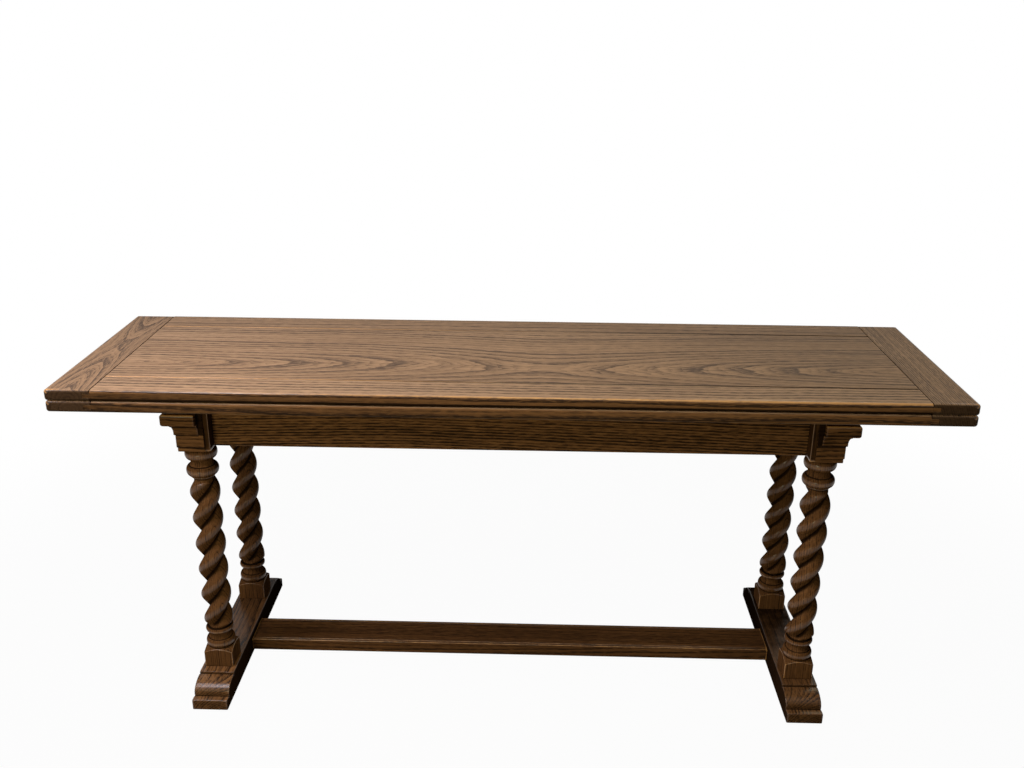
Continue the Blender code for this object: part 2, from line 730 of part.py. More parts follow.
def stretcher():
    """Flat stretcher with a scratched bead along each upper edge, tenoned into the feet."""
    edge = STRETCHER_WIDTH / 2
    top = STRETCHER_BOTTOM + STRETCHER_THICKNESS
    ease = STRETCHER_BEAD / 3
    bead_back = edge - STRETCHER_BEAD
    quirk = (bead_back - STRETCHER_QUIRK / 2, top - STRETCHER_QUIRK)
    right = [(edge, STRETCHER_BOTTOM), (edge, top - ease), (edge - ease, top), (bead_back, top), quirk,
             (bead_back - STRETCHER_QUIRK, top)]
    outline = right + [(-y, z) for y, z in reversed(right)]
    reach = LEG_X - FOOT_WIDTH / 2 - FIT
    rail = add_part("stretcher", prism(outline, "X", -reach, reach), FRAME_OAK)
    low, high = stretcher_tenon_heights(0.0)
    wide = STRETCHER_TENON_WIDTH / 2
    root = reach - STRETCHER_TENON_LENGTH
    tip = reach + STRETCHER_TENON_LENGTH
    join(rail, boxes(*[((way * root, -wide, low), (way * tip, wide, high)) for way in SIDES.values()]))


# Runners


def runner_screw_places(way):
    """Heads of the screws of one runner, level with its underside."""
    middle = way * RUNNER_SPACING / 2
    return {end: Vector((middle + row * RUNNER_SCREW_OFFSET, row * RUNNER_SCREW_SPACING, RUNNER_BOTTOM))
            for end, row in ENDS.items()}


def screws(places, direction, length, clearance=0.0):
    """Countersunk screws that start at their heads and run along the direction."""
    form = bmesh.new()
    turn = Vector((0, 0, 1)).rotation_difference(Vector(direction)).to_matrix().to_4x4()
    head, shank = SCREW_HEAD_RADIUS + clearance, SCREW_RADIUS + clearance
    profile = [(-clearance, head), (SCREW_HEAD_HEIGHT, shank), (length + clearance, shank)]
    around = [math.tau * i / SCREW_POINTS for i in range(SCREW_POINTS)]
    rings = [[Vector((radius * math.cos(a), radius * math.sin(a), height)) for a in around]
             for height, radius in profile]
    for place in places:
        one = bmesh.new()
        loft(one, rings)
        one.transform(Matrix.Translation(place) @ turn)
        mesh = make_mesh("screw", one)
        form.from_mesh(mesh)
        bpy.data.meshes.remove(mesh)
    return form


def runners(parent):
    """Dovetailed runners with stopped grooves, screwed up into the lower leaf's panel."""
    reach = TOP_DEPTH / 2 - RUNNER_INSET
    groove = STOP_PEG_RADIUS + FIT
    peg = stop_places()[0].y
    length = RUNNER_HEIGHT + FIT + RUNNER_SCREW_BITE
    panel = bpy.data.objects["lower_leaf_panel"]
    for side, way in SIDES.items():
        middle = way * RUNNER_SPACING / 2
        outline = [(x + middle, z) for x, z in dovetail(0.0)]
        runner = add_part(f"{side}_runner", prism(outline, "Y", -reach, reach), PLAIN_OAK, parent)
        roof = RUNNER_BOTTOM + STOP_PEG_RISE + FIT
        cut(runner, boxes(((middle - groove, peg - groove, RUNNER_BOTTOM - FIT),
                           (middle + groove, peg + SLIDE_TRAVEL + groove, roof))))
        places = runner_screw_places(way)
        for wood in (runner, panel):
            cut(wood, screws(places.values(), (0, 0, 1), length, FIT))
        for end, place in places.items():
            screw = screws([place], (0, 0, 1), length)
            add_part(f"{side}_runner_{end}_screw", screw, BRASS, parent, smooth=True)


# Hinges


def knuckle_spans():
    """Lower, upper and lower knuckle of a hinge as spans along X from its middle."""
    end = HINGE_WIDTH / 2
    near, far = HINGE_WIDTH / 6 - FIT / 2, HINGE_WIDTH / 6 + FIT / 2
    return [(-end, -far), (-near, near), (far, end)]


def hinge_screw_places(middle, up):
    """Heads of the two screws of a hinge plate, level with the plate's outer face."""
    height = HINGE_Z + up * (KNUCKLE_BAND + HINGE_PLATE_HEIGHT) / 2
    return {side: Vector((middle + way * HINGE_SCREW_SPACING / 2, TOP_DEPTH / 2, height))
            for side, way in SIDES.items()}


def hinge_plate(name, middle, up, parent):
    """Plate let into a rear edge, with its knuckles on the hinge axis; up is 1 on the upper leaf."""
    face = TOP_DEPTH / 2
    back = face - HINGE_PLATE_THICKNESS
    half = HINGE_WIDTH / 2
    low, high = HINGE_Z + up * KNUCKLE_BAND, HINGE_Z + up * HINGE_PLATE_HEIGHT
    plate = add_part(name, boxes(((middle - half, back, low), (middle + half, face, high))), BRASS, parent)
    spans = knuckle_spans()[1:2] if up > 0 else knuckle_spans()[0::2]
    root = HINGE_Z + up * HINGE_PLATE_HEIGHT / 2
    join(plate, boxes(*[((middle + a, back, HINGE_Z + up * KNUCKLE_RADIUS / 3), (middle + b, face, root))
                        for a, b in spans]))
    for a, b in spans:
        join(plate, rods([(middle + a, HINGE_Y, HINGE_Z)], KNUCKLE_RADIUS, (1, 0, 0), b - a))
    bore = PIN_RADIUS + PIN_CLEARANCE
    cut(plate, rods([(middle - half - FIT, HINGE_Y, HINGE_Z)], bore, (1, 0, 0), HINGE_WIDTH + 2 * FIT))
    places = hinge_screw_places(middle, up)
    cut(plate, screws(places.values(), (0, -1, 0), HINGE_SCREW_BITE, FIT))
    for side, place in places.items():
        screw = screws([place], (0, -1, 0), HINGE_SCREW_BITE)
        add_part(name.replace("plate", f"{side}_screw"), screw, BRASS, parent, smooth=True)


def hinge_mortises(up):
    """Beds for the plates and wells for the knuckles of all hinges in a rear strip."""
    face = TOP_DEPTH / 2
    half = HINGE_WIDTH / 2 + FIT
    back = face - HINGE_PLATE_THICKNESS - FIT
    high = HINGE_Z + up * (HINGE_PLATE_HEIGHT + FIT)
    band = KNUCKLE_BAND + FIT
    meeting = HINGE_Z - up * FIT
    beds, wells = [], []
    for middle in hinge_places():
        start, end = middle - half, middle + half
        beds.append(((start, back, meeting), (end, face + FIT, high)))
        wells.append(((start, HINGE_Y - band, meeting), (end, face + 2 * FIT, HINGE_Z + up * band)))
    return boxes(*beds), boxes(*wells)


def hinge_places():
    """Middles of the three hinges along the rear edge."""
    return [-HINGE_SPACING, 0.0, HINGE_SPACING]


def hinges(lower, upper):
    """Three butt hinges in the rear edges, with their pins and screws."""
    bodies = {"lower": (-1, lower), "upper": (1, upper)}
    for name, middle in zip(("left", "middle", "right"), hinge_places()):
        for leaf, (up, parent) in bodies.items():
            hinge_plate(f"{name}_hinge_{leaf}_plate", middle, up, parent)
        start = (middle - HINGE_WIDTH / 2, HINGE_Y, HINGE_Z)
        pin = rods([start], PIN_RADIUS, (1, 0, 0), HINGE_WIDTH)
        add_part(f"{name}_hinge_pin", pin, BRASS, lower, smooth=True)
    for leaf, (up, parent) in bodies.items():
        strip = bpy.data.objects[f"{leaf}_leaf_rear_strip"]
        for recess in hinge_mortises(up):
            cut(strip, recess)
        places = [place for middle in hinge_places() for place in hinge_screw_places(middle, up).values()]
        cut(strip, screws(places, (0, -1, 0), HINGE_SCREW_BITE, FIT))


def build_table():
    """Make every sub-part of the table."""
    slide = joint_empty("top_slide_origin", (0, 0, LOWER_LEAF_BOTTOM))
    fold = joint_empty("leaf_fold_axis", (0, HINGE_Y, HINGE_Z), slide)
    feet()
    legs()
    stretcher()
    aprons()
    end_rails()
    cornices()
    stop_pegs()
    leaf_boards("lower", LOWER_LEAF_BOTTOM, LOWER_LEAF_TOP, slide)
    leaf_boards("upper", UPPER_LEAF_BOTTOM, UPPER_LEAF_BOTTOM, fold)
    runners(slide)
    hinges(slide, fold)


build_table()
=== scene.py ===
"""Looks of a fold-over dining table in dark oak, dressed round its packed frame.

Two equal leaves with clamped ends lie on two trestles of barley-twist legs. Every board, leg and moulding is
a numpy surface that follows its solid, with eased and worn arrises, and takes a procedural oak in its own
grain direction. X runs along the table, Y from front to back, Z up. Lengths are metres.
"""
import json
import math
from collections import namedtuple

import bmesh
import bpy
import numpy as np
from bpy.props import FloatProperty, FloatVectorProperty, PointerProperty
from mathutils import Matrix, Vector

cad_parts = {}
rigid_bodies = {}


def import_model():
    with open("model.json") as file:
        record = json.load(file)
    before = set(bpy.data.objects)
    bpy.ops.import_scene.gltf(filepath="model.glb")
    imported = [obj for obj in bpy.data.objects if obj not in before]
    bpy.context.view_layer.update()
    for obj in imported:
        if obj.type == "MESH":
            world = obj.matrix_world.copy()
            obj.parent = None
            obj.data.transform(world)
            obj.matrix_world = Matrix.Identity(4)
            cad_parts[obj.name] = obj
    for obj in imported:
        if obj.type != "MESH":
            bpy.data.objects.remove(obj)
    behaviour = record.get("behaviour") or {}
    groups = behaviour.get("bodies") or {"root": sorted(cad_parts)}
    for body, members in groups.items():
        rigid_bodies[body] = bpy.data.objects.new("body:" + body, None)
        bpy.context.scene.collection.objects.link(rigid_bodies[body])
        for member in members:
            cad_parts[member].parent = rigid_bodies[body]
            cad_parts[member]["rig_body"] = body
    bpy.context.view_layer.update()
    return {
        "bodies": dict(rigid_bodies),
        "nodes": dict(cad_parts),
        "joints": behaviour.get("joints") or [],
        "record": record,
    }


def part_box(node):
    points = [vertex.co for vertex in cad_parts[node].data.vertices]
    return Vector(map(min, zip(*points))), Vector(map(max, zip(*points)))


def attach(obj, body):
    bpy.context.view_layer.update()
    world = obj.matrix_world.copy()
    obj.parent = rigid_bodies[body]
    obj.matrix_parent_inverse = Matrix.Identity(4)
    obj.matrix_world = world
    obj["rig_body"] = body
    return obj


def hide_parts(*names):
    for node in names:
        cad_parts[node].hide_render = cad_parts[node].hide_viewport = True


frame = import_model()

bl_info = {
    "name": "Fold-over table finish",
    "version": (1, 0, 0),
    "blender": (4, 5, 0),
    "location": "3D View > Sidebar > Table",
    "description": "Dresses a fold-over oak table with worn boards, barley-twist legs and brass hinges",
    "category": "Object",
}

SIDES = {"left": -1, "right": 1}
ENDS = {"front": -1, "rear": 1}
LEAVES = ("lower", "upper")
HINGES = ("left", "middle", "right")

# Stage: plain white, width of the camera's sensor in millimetres, and lines of the floor's mesh each way
WHITE = (1.0, 1.0, 1.0, 1.0)
SENSOR_WIDTH = 36.0
FLOOR_LINES = 9

# Axes along, across and through a board
ALONG_X = (0, 1, 2)
ALONG_Y = (1, 0, 2)
UPRIGHT = (2, 0, 1)
ALONG_X_ON_EDGE = (0, 2, 1)
ALONG_Y_ON_EDGE = (1, 2, 0)

# Clearance between pieces, easing of an arris, its least value, and how close points are merged
FIT = 0.0003
ARRIS = 0.0009
LEAST_EASE = 0.0002
MERGE_DISTANCE = 0.000002

# Eased corners: steps of an arc, rows of an eased end, and the most of an edge that an arc takes
ARC_STEPS = 4
END_ROWS = ARC_STEPS + 3
ARC_SHARE = 0.45

# Least turn of a corner, least sine of a turn that counts as a bend, and the angle of a sharp edge
LEAST_TURN = 0.000001
LEAST_BEND = 0.001
SHARP_ANGLE = math.radians(50.0)

# How far wear reaches from an arris, and the most that it takes of a short edge
WEAR_REACH = 0.004
SEAM_REACH = 0.0018
CAP_REACH = 0.0003
EDGE_SHARE = 0.3

# Wear of an arris, partly a painted highlight, by the rise of its normal: where it is most, how fast it
# fades, and the least
MOST_RUBBED_AND_LIT = 0.7
RUBBED_AND_LIT_RANGE = 0.5
LEAST_RUBBED_AND_LIT = 0.1

# Wear of the arrises beside seams and at ends; below zero it stands for grime. The third weight is a painted
# highlight on the front arris of a seam, which fades out from the left end of the leaves
SEAM_GRIME = -1.0
RAIL_GRIME = -0.80
RAIL_GLINT = 2.4
END_WEAR = 0.35

# Painted shadow on the leg block where the slab and cove of a cornice return stop short
RETURN_SHADOW = 0.9

# Front strips: weights of the lower and upper arris, below zero on the upper leaf's lower arris for painted
# shade; growth of their wear to the right, partly painted light; painted shade on the face towards the left
FRONT_WEAR_AND_SHADE = {"lower": (0.1, 0.25), "upper": (-0.9, 1.15)}
FRONT_LIGHT_DRIFT = 0.75
FRONT_LEFT_SHADE = 0.45

# Painted shade at the front and rear tip of each foot, deeper at the rear and on the right foot
FOOT_SHADE = {"left": (0.0, 0.5), "right": (0.25, 0.8)}

# Turn of each leg's twist, in degrees
TWIST_TURNS = {"front_left": 0.0, "front_right": -8.5, "rear_left": 7.0, "rear_right": -31.0}

# Points on the curves of the mouldings
COVE_POINTS = 9
OVOLO_POINTS = 12


# Properties


def length(name, text, value):
    """A length in metres that a user may change."""
    return FloatProperty(name=name, description=text, default=value, unit="LENGTH", precision=4)


def factor(name, text, value, most=1.0):
    """A share that a user may change."""
    return FloatProperty(name=name, description=text, default=value, min=0.0, max=most, subtype="FACTOR")


def colour(name, text, value):
    """A linear colour that a user may change."""
    return FloatVectorProperty(name=name, description=text, default=value, size=3, min=0.0, max=1.0,
                               subtype="COLOR")


def angle(name, text, value):
    """An angle that a user may change."""
    return FloatProperty(name=name, description=text, default=value, unit="ROTATION")


def position(name, text, value):
    """A place that a user may change."""
    return FloatVectorProperty(name=name, description=text, default=value, size=3, subtype="TRANSLATION",
                               unit="LENGTH")


def power(name, text, value):
    """The power of a lamp, in watts, that a user may change."""
    return FloatProperty(name=name, description=text, default=value, min=0.0, unit="POWER")


class TABLE_PG_joinery(bpy.types.PropertyGroup):
    """Sizes of the leaf joints and of the easing on the boards."""
    tongue_length: length("Tongue length", "How far the boards run into the clamps", 0.015)
    tongue_thickness: length("Tongue thickness", "Thickness of the tongues", 0.008)
    edge_round: length("Edge round", "Radius of the outer edges of a leaf", 0.0055)
    seam_round: length("Seam round", "Easing of the boards beside a long seam", 0.0016)
    arris: length("Arris", "Easing of the other edges", ARRIS)
    tenon_length: length("Tenon length", "Length of the rail tenons that the legs hide", 0.022)
    runner_top_width: length("Runner top width", "Width of the runner dovetails at the frame top", 0.036)
    plate_thickness: length("Hinge plate", "Depth of the beds of the hinge plates", 0.0018)
    plate_height: length("Hinge plate height", "Reach of a hinge plate from the pin", 0.0165)
    knuckle_radius: length("Knuckle radius", "Radius of the hinge knuckles", 0.003)


class TABLE_PG_turning(bpy.types.PropertyGroup):
    """Sizes of the turned and twisted legs."""
    block_width: length("Block width", "Side of the square blocks", 0.0634)
    block_ease: length("Block ease", "Radius of the upright edges of the blocks", 0.0016)
    tenon_length: length("Leg tenon", "Length of the tenon in the foot", 0.028)
    foot_block: length("Foot block", "Height of the square above the foot", 0.037)
    shoulder: length("Shoulder", "Height of the turned shoulder on the foot block", 0.009)
    shoulder_radius: length("Shoulder radius", "Radius where the shoulder meets the ring", 0.028)
    foot_torus: length("Foot ring", "Height of the lower ring", 0.020)
    foot_torus_radius: length("Foot ring radius", "Radius of the lower ring", 0.032)
    foot_neck: length("Foot neck", "Height of the lower neck", 0.017)
    neck_radius: length("Neck radius", "Least radius of both necks", 0.0236)
    neck_flare: length("Neck flare", "How far the necks widen to their ends", 0.003)
    foot_bead: length("Foot bead", "Height of the bead below the twist", 0.011)
    foot_bead_radius: length("Foot bead radius", "Radius of the bead below the twist", 0.0307)
    top_block: length("Top block", "Height of the square at the head", 0.117)
    head_fillet: length("Head fillet", "Height of the fillet below the top block", 0.003)
    head_fillet_radius: length("Head fillet radius", "Radius of that fillet", 0.0295)
    head_ring: length("Head ring", "Height of the ring below the fillet", 0.0235)
    head_neck: length("Head neck", "Height of the upper neck", 0.016)
    head_torus: length("Head torus", "Height of the ring above the twist", 0.0225)
    head_torus_radius: length("Head ring radius", "Radius of both upper rings", 0.0342)
    head_bead: length("Head bead", "Height of the bead above the twist", 0.005)
    head_bead_radius: length("Head bead radius", "Radius of the bead above the twist", 0.0262)
    strand_radius: length("Strand radius", "Radius of each strand of the twist", 0.020)
    strand_offset: length("Strand offset", "Distance of a strand from the axis", 0.0122)
    lead: length("Lead", "Rise of a strand in one full turn", 0.127)
    bulge_height: length("Bulge height", "Height at which a strand faces the right", 0.4778)
    runout: length("Run-out", "Length over which the twist dies into a bead", 0.012)
    end_radius: length("Twist end radius", "Radius where the twist ends", 0.0225)


class TABLE_PG_moulding(bpy.types.PropertyGroup):
    """Sizes of the cornice, the feet and the stretcher's bead."""
    cornice_top: length("Cornice top", "Projection of the board above the slab", 0.016)
    slab_top: length("Slab top", "Depth of the slab's top below the frame top", 0.026)
    slab_bottom: length("Slab bottom", "Depth of the slab's underside", 0.052)
    slab: length("Slab projection", "Projection of the slab", 0.0248)
    slab_round: length("Slab round", "Radius of the slab's edges", 0.006)
    cove_top: length("Cove top", "Projection at the top of the cove", 0.012)
    cove_foot: length("Cove foot", "Projection at the foot of the cove", 0.0062)
    cove_bottom: length("Cove bottom", "Depth of the cove's foot", 0.078)
    fillet: length("Fillet", "Height of the fillets round the cove", 0.005)
    fascia: length("Fascia projection", "Projection of the lower fascia", 0.0036)
    fascia_bottom: length("Fascia bottom", "Depth of the fascia's foot", 0.107)
    cornice_foot: length("Foot projection", "Projection of the lowest fillet", 0.002)
    cornice_bottom: length("Cornice bottom", "Depth of the cornice's foot", 0.117)
    bare_width: length("Bare width", "Strip of the leg block that the returns leave bare", 0.0125)
    step: length("Step", "How far slab and cove stop short of the fascia", 0.0095)
    toe_length: length("Toe length", "Length of the flat toe", 0.0155)
    toe_height: length("Toe height", "Height of the toe", 0.0245)
    toe_round: length("Toe round", "Radius of the toe's edge", 0.003)
    quirk_width: length("Quirk width", "Width of the grooves beside the ovolo", 0.0035)
    quirk_depth: length("Quirk depth", "Depth of those grooves", 0.003)
    ovolo_length: length("Ovolo length", "Length of the ovolo", 0.0425)
    ovolo_height: length("Ovolo height", "Height of the ovolo", 0.0225)
    stretcher_bead: length("Stretcher bead", "Width of the bead along the stretcher", 0.005)
    stretcher_quirk: length("Stretcher quirk", "Width of the groove behind the bead", 0.0025)


class TABLE_PG_oak(bpy.types.PropertyGroup):
    """Colours and surface of the oak."""
    top_light: colour("Top light", "Palest wood of the leaves", (0.312, 0.191, 0.107))
    top_brown: colour("Top brown", "Middle tone of the leaves", (0.221, 0.131, 0.071))
    top_dark: colour("Top dark", "Ring lines of the leaves", (0.076, 0.047, 0.030))
    frame_light: colour("Frame light", "Palest wood of the frame", (0.195, 0.089, 0.033))
    frame_brown: colour("Frame brown", "Middle tone of the frame", (0.090, 0.039, 0.014))
    frame_dark: colour("Frame dark", "Ring lines of the frame", (0.020, 0.010, 0.005))
    plain_light: colour("Plain light", "Palest wood of the unstained oak", (0.300, 0.200, 0.110))
    plain_brown: colour("Plain brown", "Middle tone of the unstained oak", (0.200, 0.125, 0.066))
    plain_dark: colour("Plain dark", "Ring lines of the unstained oak", (0.090, 0.052, 0.027))
    # Colour of the painted shade on the long side faces of the leaves
    top_edge_shade: colour("Top edge", "Darkened long edges of the leaves", (0.105, 0.042, 0.010))
    # Colour of worn arrises, also used for painted highlights
    worn: colour("Worn", "Bare wood on rubbed arrises", (0.440, 0.215, 0.065))
    # Colour of dirt in the quirks, also used for painted shade
    grime: colour("Grime", "Old wax and dirt in the quirks", (0.008, 0.004, 0.002))
    roughness: factor("Roughness", "Mean roughness of the wax", 0.36)
    gloss: factor("Gloss", "Specular level of the bare wax", 0.0)
    polish: factor("Polish", "Coat of polish on the flat faces of the leaves", 0.16)
    gleam: factor("Gleam", "Coat of polish on rubbed arrises", 0.55)
    polish_roughness: factor("Polish roughness", "Roughness of both coats", 0.26)
    pore_depth: length("Pore depth", "Depth of the open pores", 0.00035)
    brass: colour("Brass", "Clean brass", (0.480, 0.320, 0.130))
    tarnish: colour("Tarnish", "Tarnished brass", (0.120, 0.075, 0.030))
    scratch_depth: length("Scratch depth", "Depth of the scratches on brass", 0.0001)


class TABLE_PG_stage(bpy.types.PropertyGroup):
    """Camera, light and floor."""
    camera: position("Camera", "Place of the camera", (0.0509, -2.115, 1.4836))
    pitch: angle("Pitch", "How far the camera looks down", 0.3591)
    yaw: angle("Yaw", "How far the camera turns left", 0.0228)
    roll: angle("Roll", "How far the camera leans", 0.008)
    focal: FloatProperty(name="Focal length", description="Focal length for a 36 mm wide frame",
                         default=35.885, unit="CAMERA")
    floor: colour("Floor", "Colour of the floor", (0.28, 0.28, 0.28))
    floor_roughness: factor("Floor roughness", "Roughness of the floor", 0.9)
    floor_size: length("Floor size", "Side of the floor", 600.0)
    floor_white: factor("Floor white", "How far the floor by the table shows as plain white", 0.965)
    floor_near: length("Floor near", "Distance at which the floor starts to turn plain white", 1.1)
    floor_far: length("Floor far", "Distance from which the floor is plain white", 2.2)
    fill: factor("Fill", "Light from all round", 0.07, 2.0)
    fill_colour: colour("Fill colour", "Colour of the light from all round", (1.0, 0.98, 0.96))
    aim: position("Aim", "Place that the lamps face", (0.0, 0.0, 0.55))
    key_place: position("Key place", "Place of the lamp on the left", (-2.3, -1.6, 2.3))
    key_size: length("Key size", "Side of the lamp on the left", 0.8)
    key_power: power("Key power", "Light from the left", 34.0)
    key_colour: colour("Key colour", "Colour of the light from the left", (0.95, 0.92, 1.0))
    top_place: position("Top place", "Place of the lamp above the left half", (-1.0, -0.60, 1.80))
    top_size: length("Top size", "Side of the lamp above the left half", 0.6)
    top_power: power("Top power", "Light from above the left half", 25.0)
    top_colour: colour("Top colour", "Colour of the light from above the left half", (0.94, 0.90, 1.0))
    side_place: position("Side place", "Place of the lamp high in front", (0.2, -0.9, 2.6))
    side_power: power("Side power", "Light from high in front", 16.0)
    front_place: position("Front place", "Place of the lamp low in front", (-1.1, -2.9, 1.1))
    front_power: power("Front power", "Light from low in front", 34.0)
    back_place: position("Back place", "Place of the lamp behind", (1.4, 2.4, 3.0))
    back_power: power("Back power", "Light from behind", 14.0)
    warm_size: length("Warm size", "Side of the lamps in front and behind", 0.9)
    warm_colour: colour("Warm colour", "Colour of the lamps in front and behind", (0.95, 0.93, 0.60))


class TABLE_PG_settings(bpy.types.PropertyGroup):
    """All settings of the table."""
    joinery: PointerProperty(type=TABLE_PG_joinery)
    turning: PointerProperty(type=TABLE_PG_turning)
    moulding: PointerProperty(type=TABLE_PG_moulding)
    oak: PointerProperty(type=TABLE_PG_oak)
    stage: PointerProperty(type=TABLE_PG_stage)


def settings():
    """The table's settings in the open scene."""
    return bpy.context.scene.fold_table


# Shader expressions


class Wire:
    """A socket in a material: arithmetic on wires adds Math nodes, and node() adds any other node."""

    def __init__(self, tree, socket=None):
        self.tree = tree
        self.socket = socket

    def node(self, kind, options, inputs, output=0):
        """Add a node: its options first, then the values or links of its sockets."""
        made = self.tree.nodes.new(kind)
        for key, value in options.items():
            setattr(made, key, value)
        for key, value in inputs.items():
            if isinstance(value, Wire):
                self.tree.links.new(value.socket, made.inputs[key])
            else:
                made.inputs[key].default_value = value
        return Wire(self.tree, made.outputs[output])

    def math(self, operation, *values):
        """A Math node on numbers and wires."""
        return self.node("ShaderNodeMath", {"operation": operation}, dict(enumerate(values)))

    def __add__(self, other):
        return self.math("ADD", self, other)

    __radd__ = __add__

    def __sub__(self, other):
        return self.math("SUBTRACT", self, other)

    def __rsub__(self, other):
        return self.math("SUBTRACT", other, self)

    def __mul__(self, other):
        return self.math("MULTIPLY", self, other)

    __rmul__ = __mul__

    def __truediv__(self, other):
        return self.math("DIVIDE", self, other)

    def __pow__(self, other):
        return self.math("POWER", self, other)

    def root(self):
        """The square root."""
        return self.math("SQRT", self)

    def absolute(self):
        """The value without its sign."""
        return self.math("ABSOLUTE", self)

    def fraction(self):
        """What lies above the whole number below."""
        return self.math("FRACT", self)

    def whole(self):
        """The whole number below."""
        return self.math("FLOOR", self)

    def larger(self, other):
        """The larger of two values."""
        return self.math("MAXIMUM", self, other)

    def feed(self, node, name):
        """Link this wire to a node's input."""
        self.tree.links.new(self.socket, node.inputs[name])

    def coordinates(self, name):
        """The three parts of a texture coordinate."""
        return self.node("ShaderNodeTexCoord", {}, {}, name).split()

    def split(self):
        """The three parts of a vector."""
        first = self.node("ShaderNodeSeparateXYZ", {}, {0: self})
        return [Wire(self.tree, socket) for socket in first.socket.node.outputs]

    def joined(self, x, y, z):
        """A vector from three values."""
        return self.node("ShaderNodeCombineXYZ", {}, {0: x, 1: y, 2: z})

    def step(self, low, high):
        """0 below low, 1 above high and smooth between."""
        return self.node("ShaderNodeMapRange", {"interpolation_type": "SMOOTHSTEP"},
                         {"Value": self, "From Min": low, "From Max": high})

    def noise(self, vector, detail, roughness=0.5):
        """Noise about 0.5 at a vector that already holds its scale."""
        return self.node("ShaderNodeTexNoise", {}, {"Vector": vector, "Scale": 1.0, "Detail": detail,
                                                    "Roughness": roughness})

    def mix(self, share, first, second):
        """A colour between two."""
        ends = [value if isinstance(value, Wire) else (*value, 1.0) for value in (first, second)]
        return self.node("ShaderNodeMix", {"data_type": "RGBA"}, {0: share, 6: ends[0], 7: ends[1]}, 2)

    def attribute(self, name):
        """A number kept on the mesh."""
        return self.node("ShaderNodeAttribute", {"attribute_name": name}, {}, "Fac")


def new_material(name):
    """An empty node material, its shader and a wire to start from."""
    material = bpy.data.materials.new(name)
    material.use_nodes = True
    tree = material.node_tree
    return material, tree.nodes["Principled BSDF"], Wire(tree)


Figure = namedtuple("Figure", "heart depth slope middle ring pale", defaults=(0.0,))
Figure.__doc__ = """Where a board lay in its log.

Heart and depth place the pith across and below the board, the pith nears the face by slope on both sides of
middle along the grain, ring is the width of a year's growth, and pale how far the tone lies above the mean.
"""
Board = namedtuple("Board", "wire along across through seed")
Board.__doc__ = """Coordinates of a board in its material, and the start of its noise."""
Mark = namedtuple("Mark", "long wide detail roughness shift", defaults=(0.0,))
Mark.__doc__ = """Noise of a kind of mark: scale along and across the grain, detail, roughness and shift."""

# Marks in oak, from the bends of its years to its pores
WANDER = Mark(1.6, 3.0, 1.0, 0.5)
RIPPLE = Mark(6.0, 34.0, 3.0, 0.6, 3.7)
MOTTLE = Mark(2.3, 9.0, 3.0, 0.55, 6.4)
STREAK = Mark(3.0, 170.0, 3.0, 0.62, 1.3)
FLECK = Mark(42.0, 420.0, 2.0, 0.55, 2.9)
FIBRE = Mark(26.0, 1100.0, 2.0, 0.6, 5.1)
PORE = Mark(55.0, 1500.0, 1.0, 0.5, 8.9)

# Marks on brass
CLOUD = Mark(180.0, 180.0, 4.0, 0.6)
SCRATCH = Mark(90.0, 2600.0, 2.0, 0.6)

# Years: sway through the board in rings, its share across, ripple in years, roundness of the arches, threads
SWAY = 2.5
SIDE_SWAY = 0.7
RIPPLE_YEARS = 0.9
ARCH_ROUND = 0.004
THREADS_IN_YEAR = 3.7

# Scale of the patches of wear, and the shares of its normal between which a face turns to look one way
PATCH_SCALE = 38.0
FACING = (0.35, 0.90)


def oak_colours(stain):
    """Pale, middle and dark tone of a stain."""
    oak = settings().oak
    return [getattr(oak, f"{stain}_{tone}") for tone in ("light", "brown", "dark")]


def grain(board, mark):
    """Noise of a kind of mark, drawn out along the grain."""
    start = board.along * mark.long + (board.seed + mark.shift)
    place = board.wire.joined(start, board.across * mark.wide, board.through * mark.wide)
    return board.wire.noise(place, mark.detail, mark.roughness)


def growth(board, figure):
    """Years of growth from the pith to a point.

    Years are shells about the pith: with t across and d through the board, their radius is the root of t
    squared plus (d + h) squared, where h falls on both sides of the figure's middle, so that flat boards show
    pointed arches.
    """
    sway = (grain(board, WANDER) - 0.5) * (SWAY * figure.ring)
    run = ((board.along - figure.middle) ** 2 + ARCH_ROUND).root()
    height = figure.depth - figure.slope * run + board.through + sway
    side = board.across - figure.heart + sway * SIDE_SWAY
    radius = (side * side + height * height).root()
    return radius / figure.ring + (grain(board, RIPPLE) - 0.5) * RIPPLE_YEARS + board.seed


def early_wood(board, years):
    """Dark line that starts each year and fades, with a strength drawn for the year."""
    part = years.fraction()
    strength = board.wire.node("ShaderNodeTexWhiteNoise", {"noise_dimensions": "1D"}, {"W": years.whole()})
    return (1.0 - part) ** 1.6 * part.step(0.0, 0.06) * (0.22 + 0.88 * strength ** 1.5)


def open_pores(board, years):
    """Open pores, which are closest in early wood."""
    return grain(board, PORE).step(0.53, 0.68) * (0.25 + 0.75 * (1.0 - years.fraction()) ** 1.2)


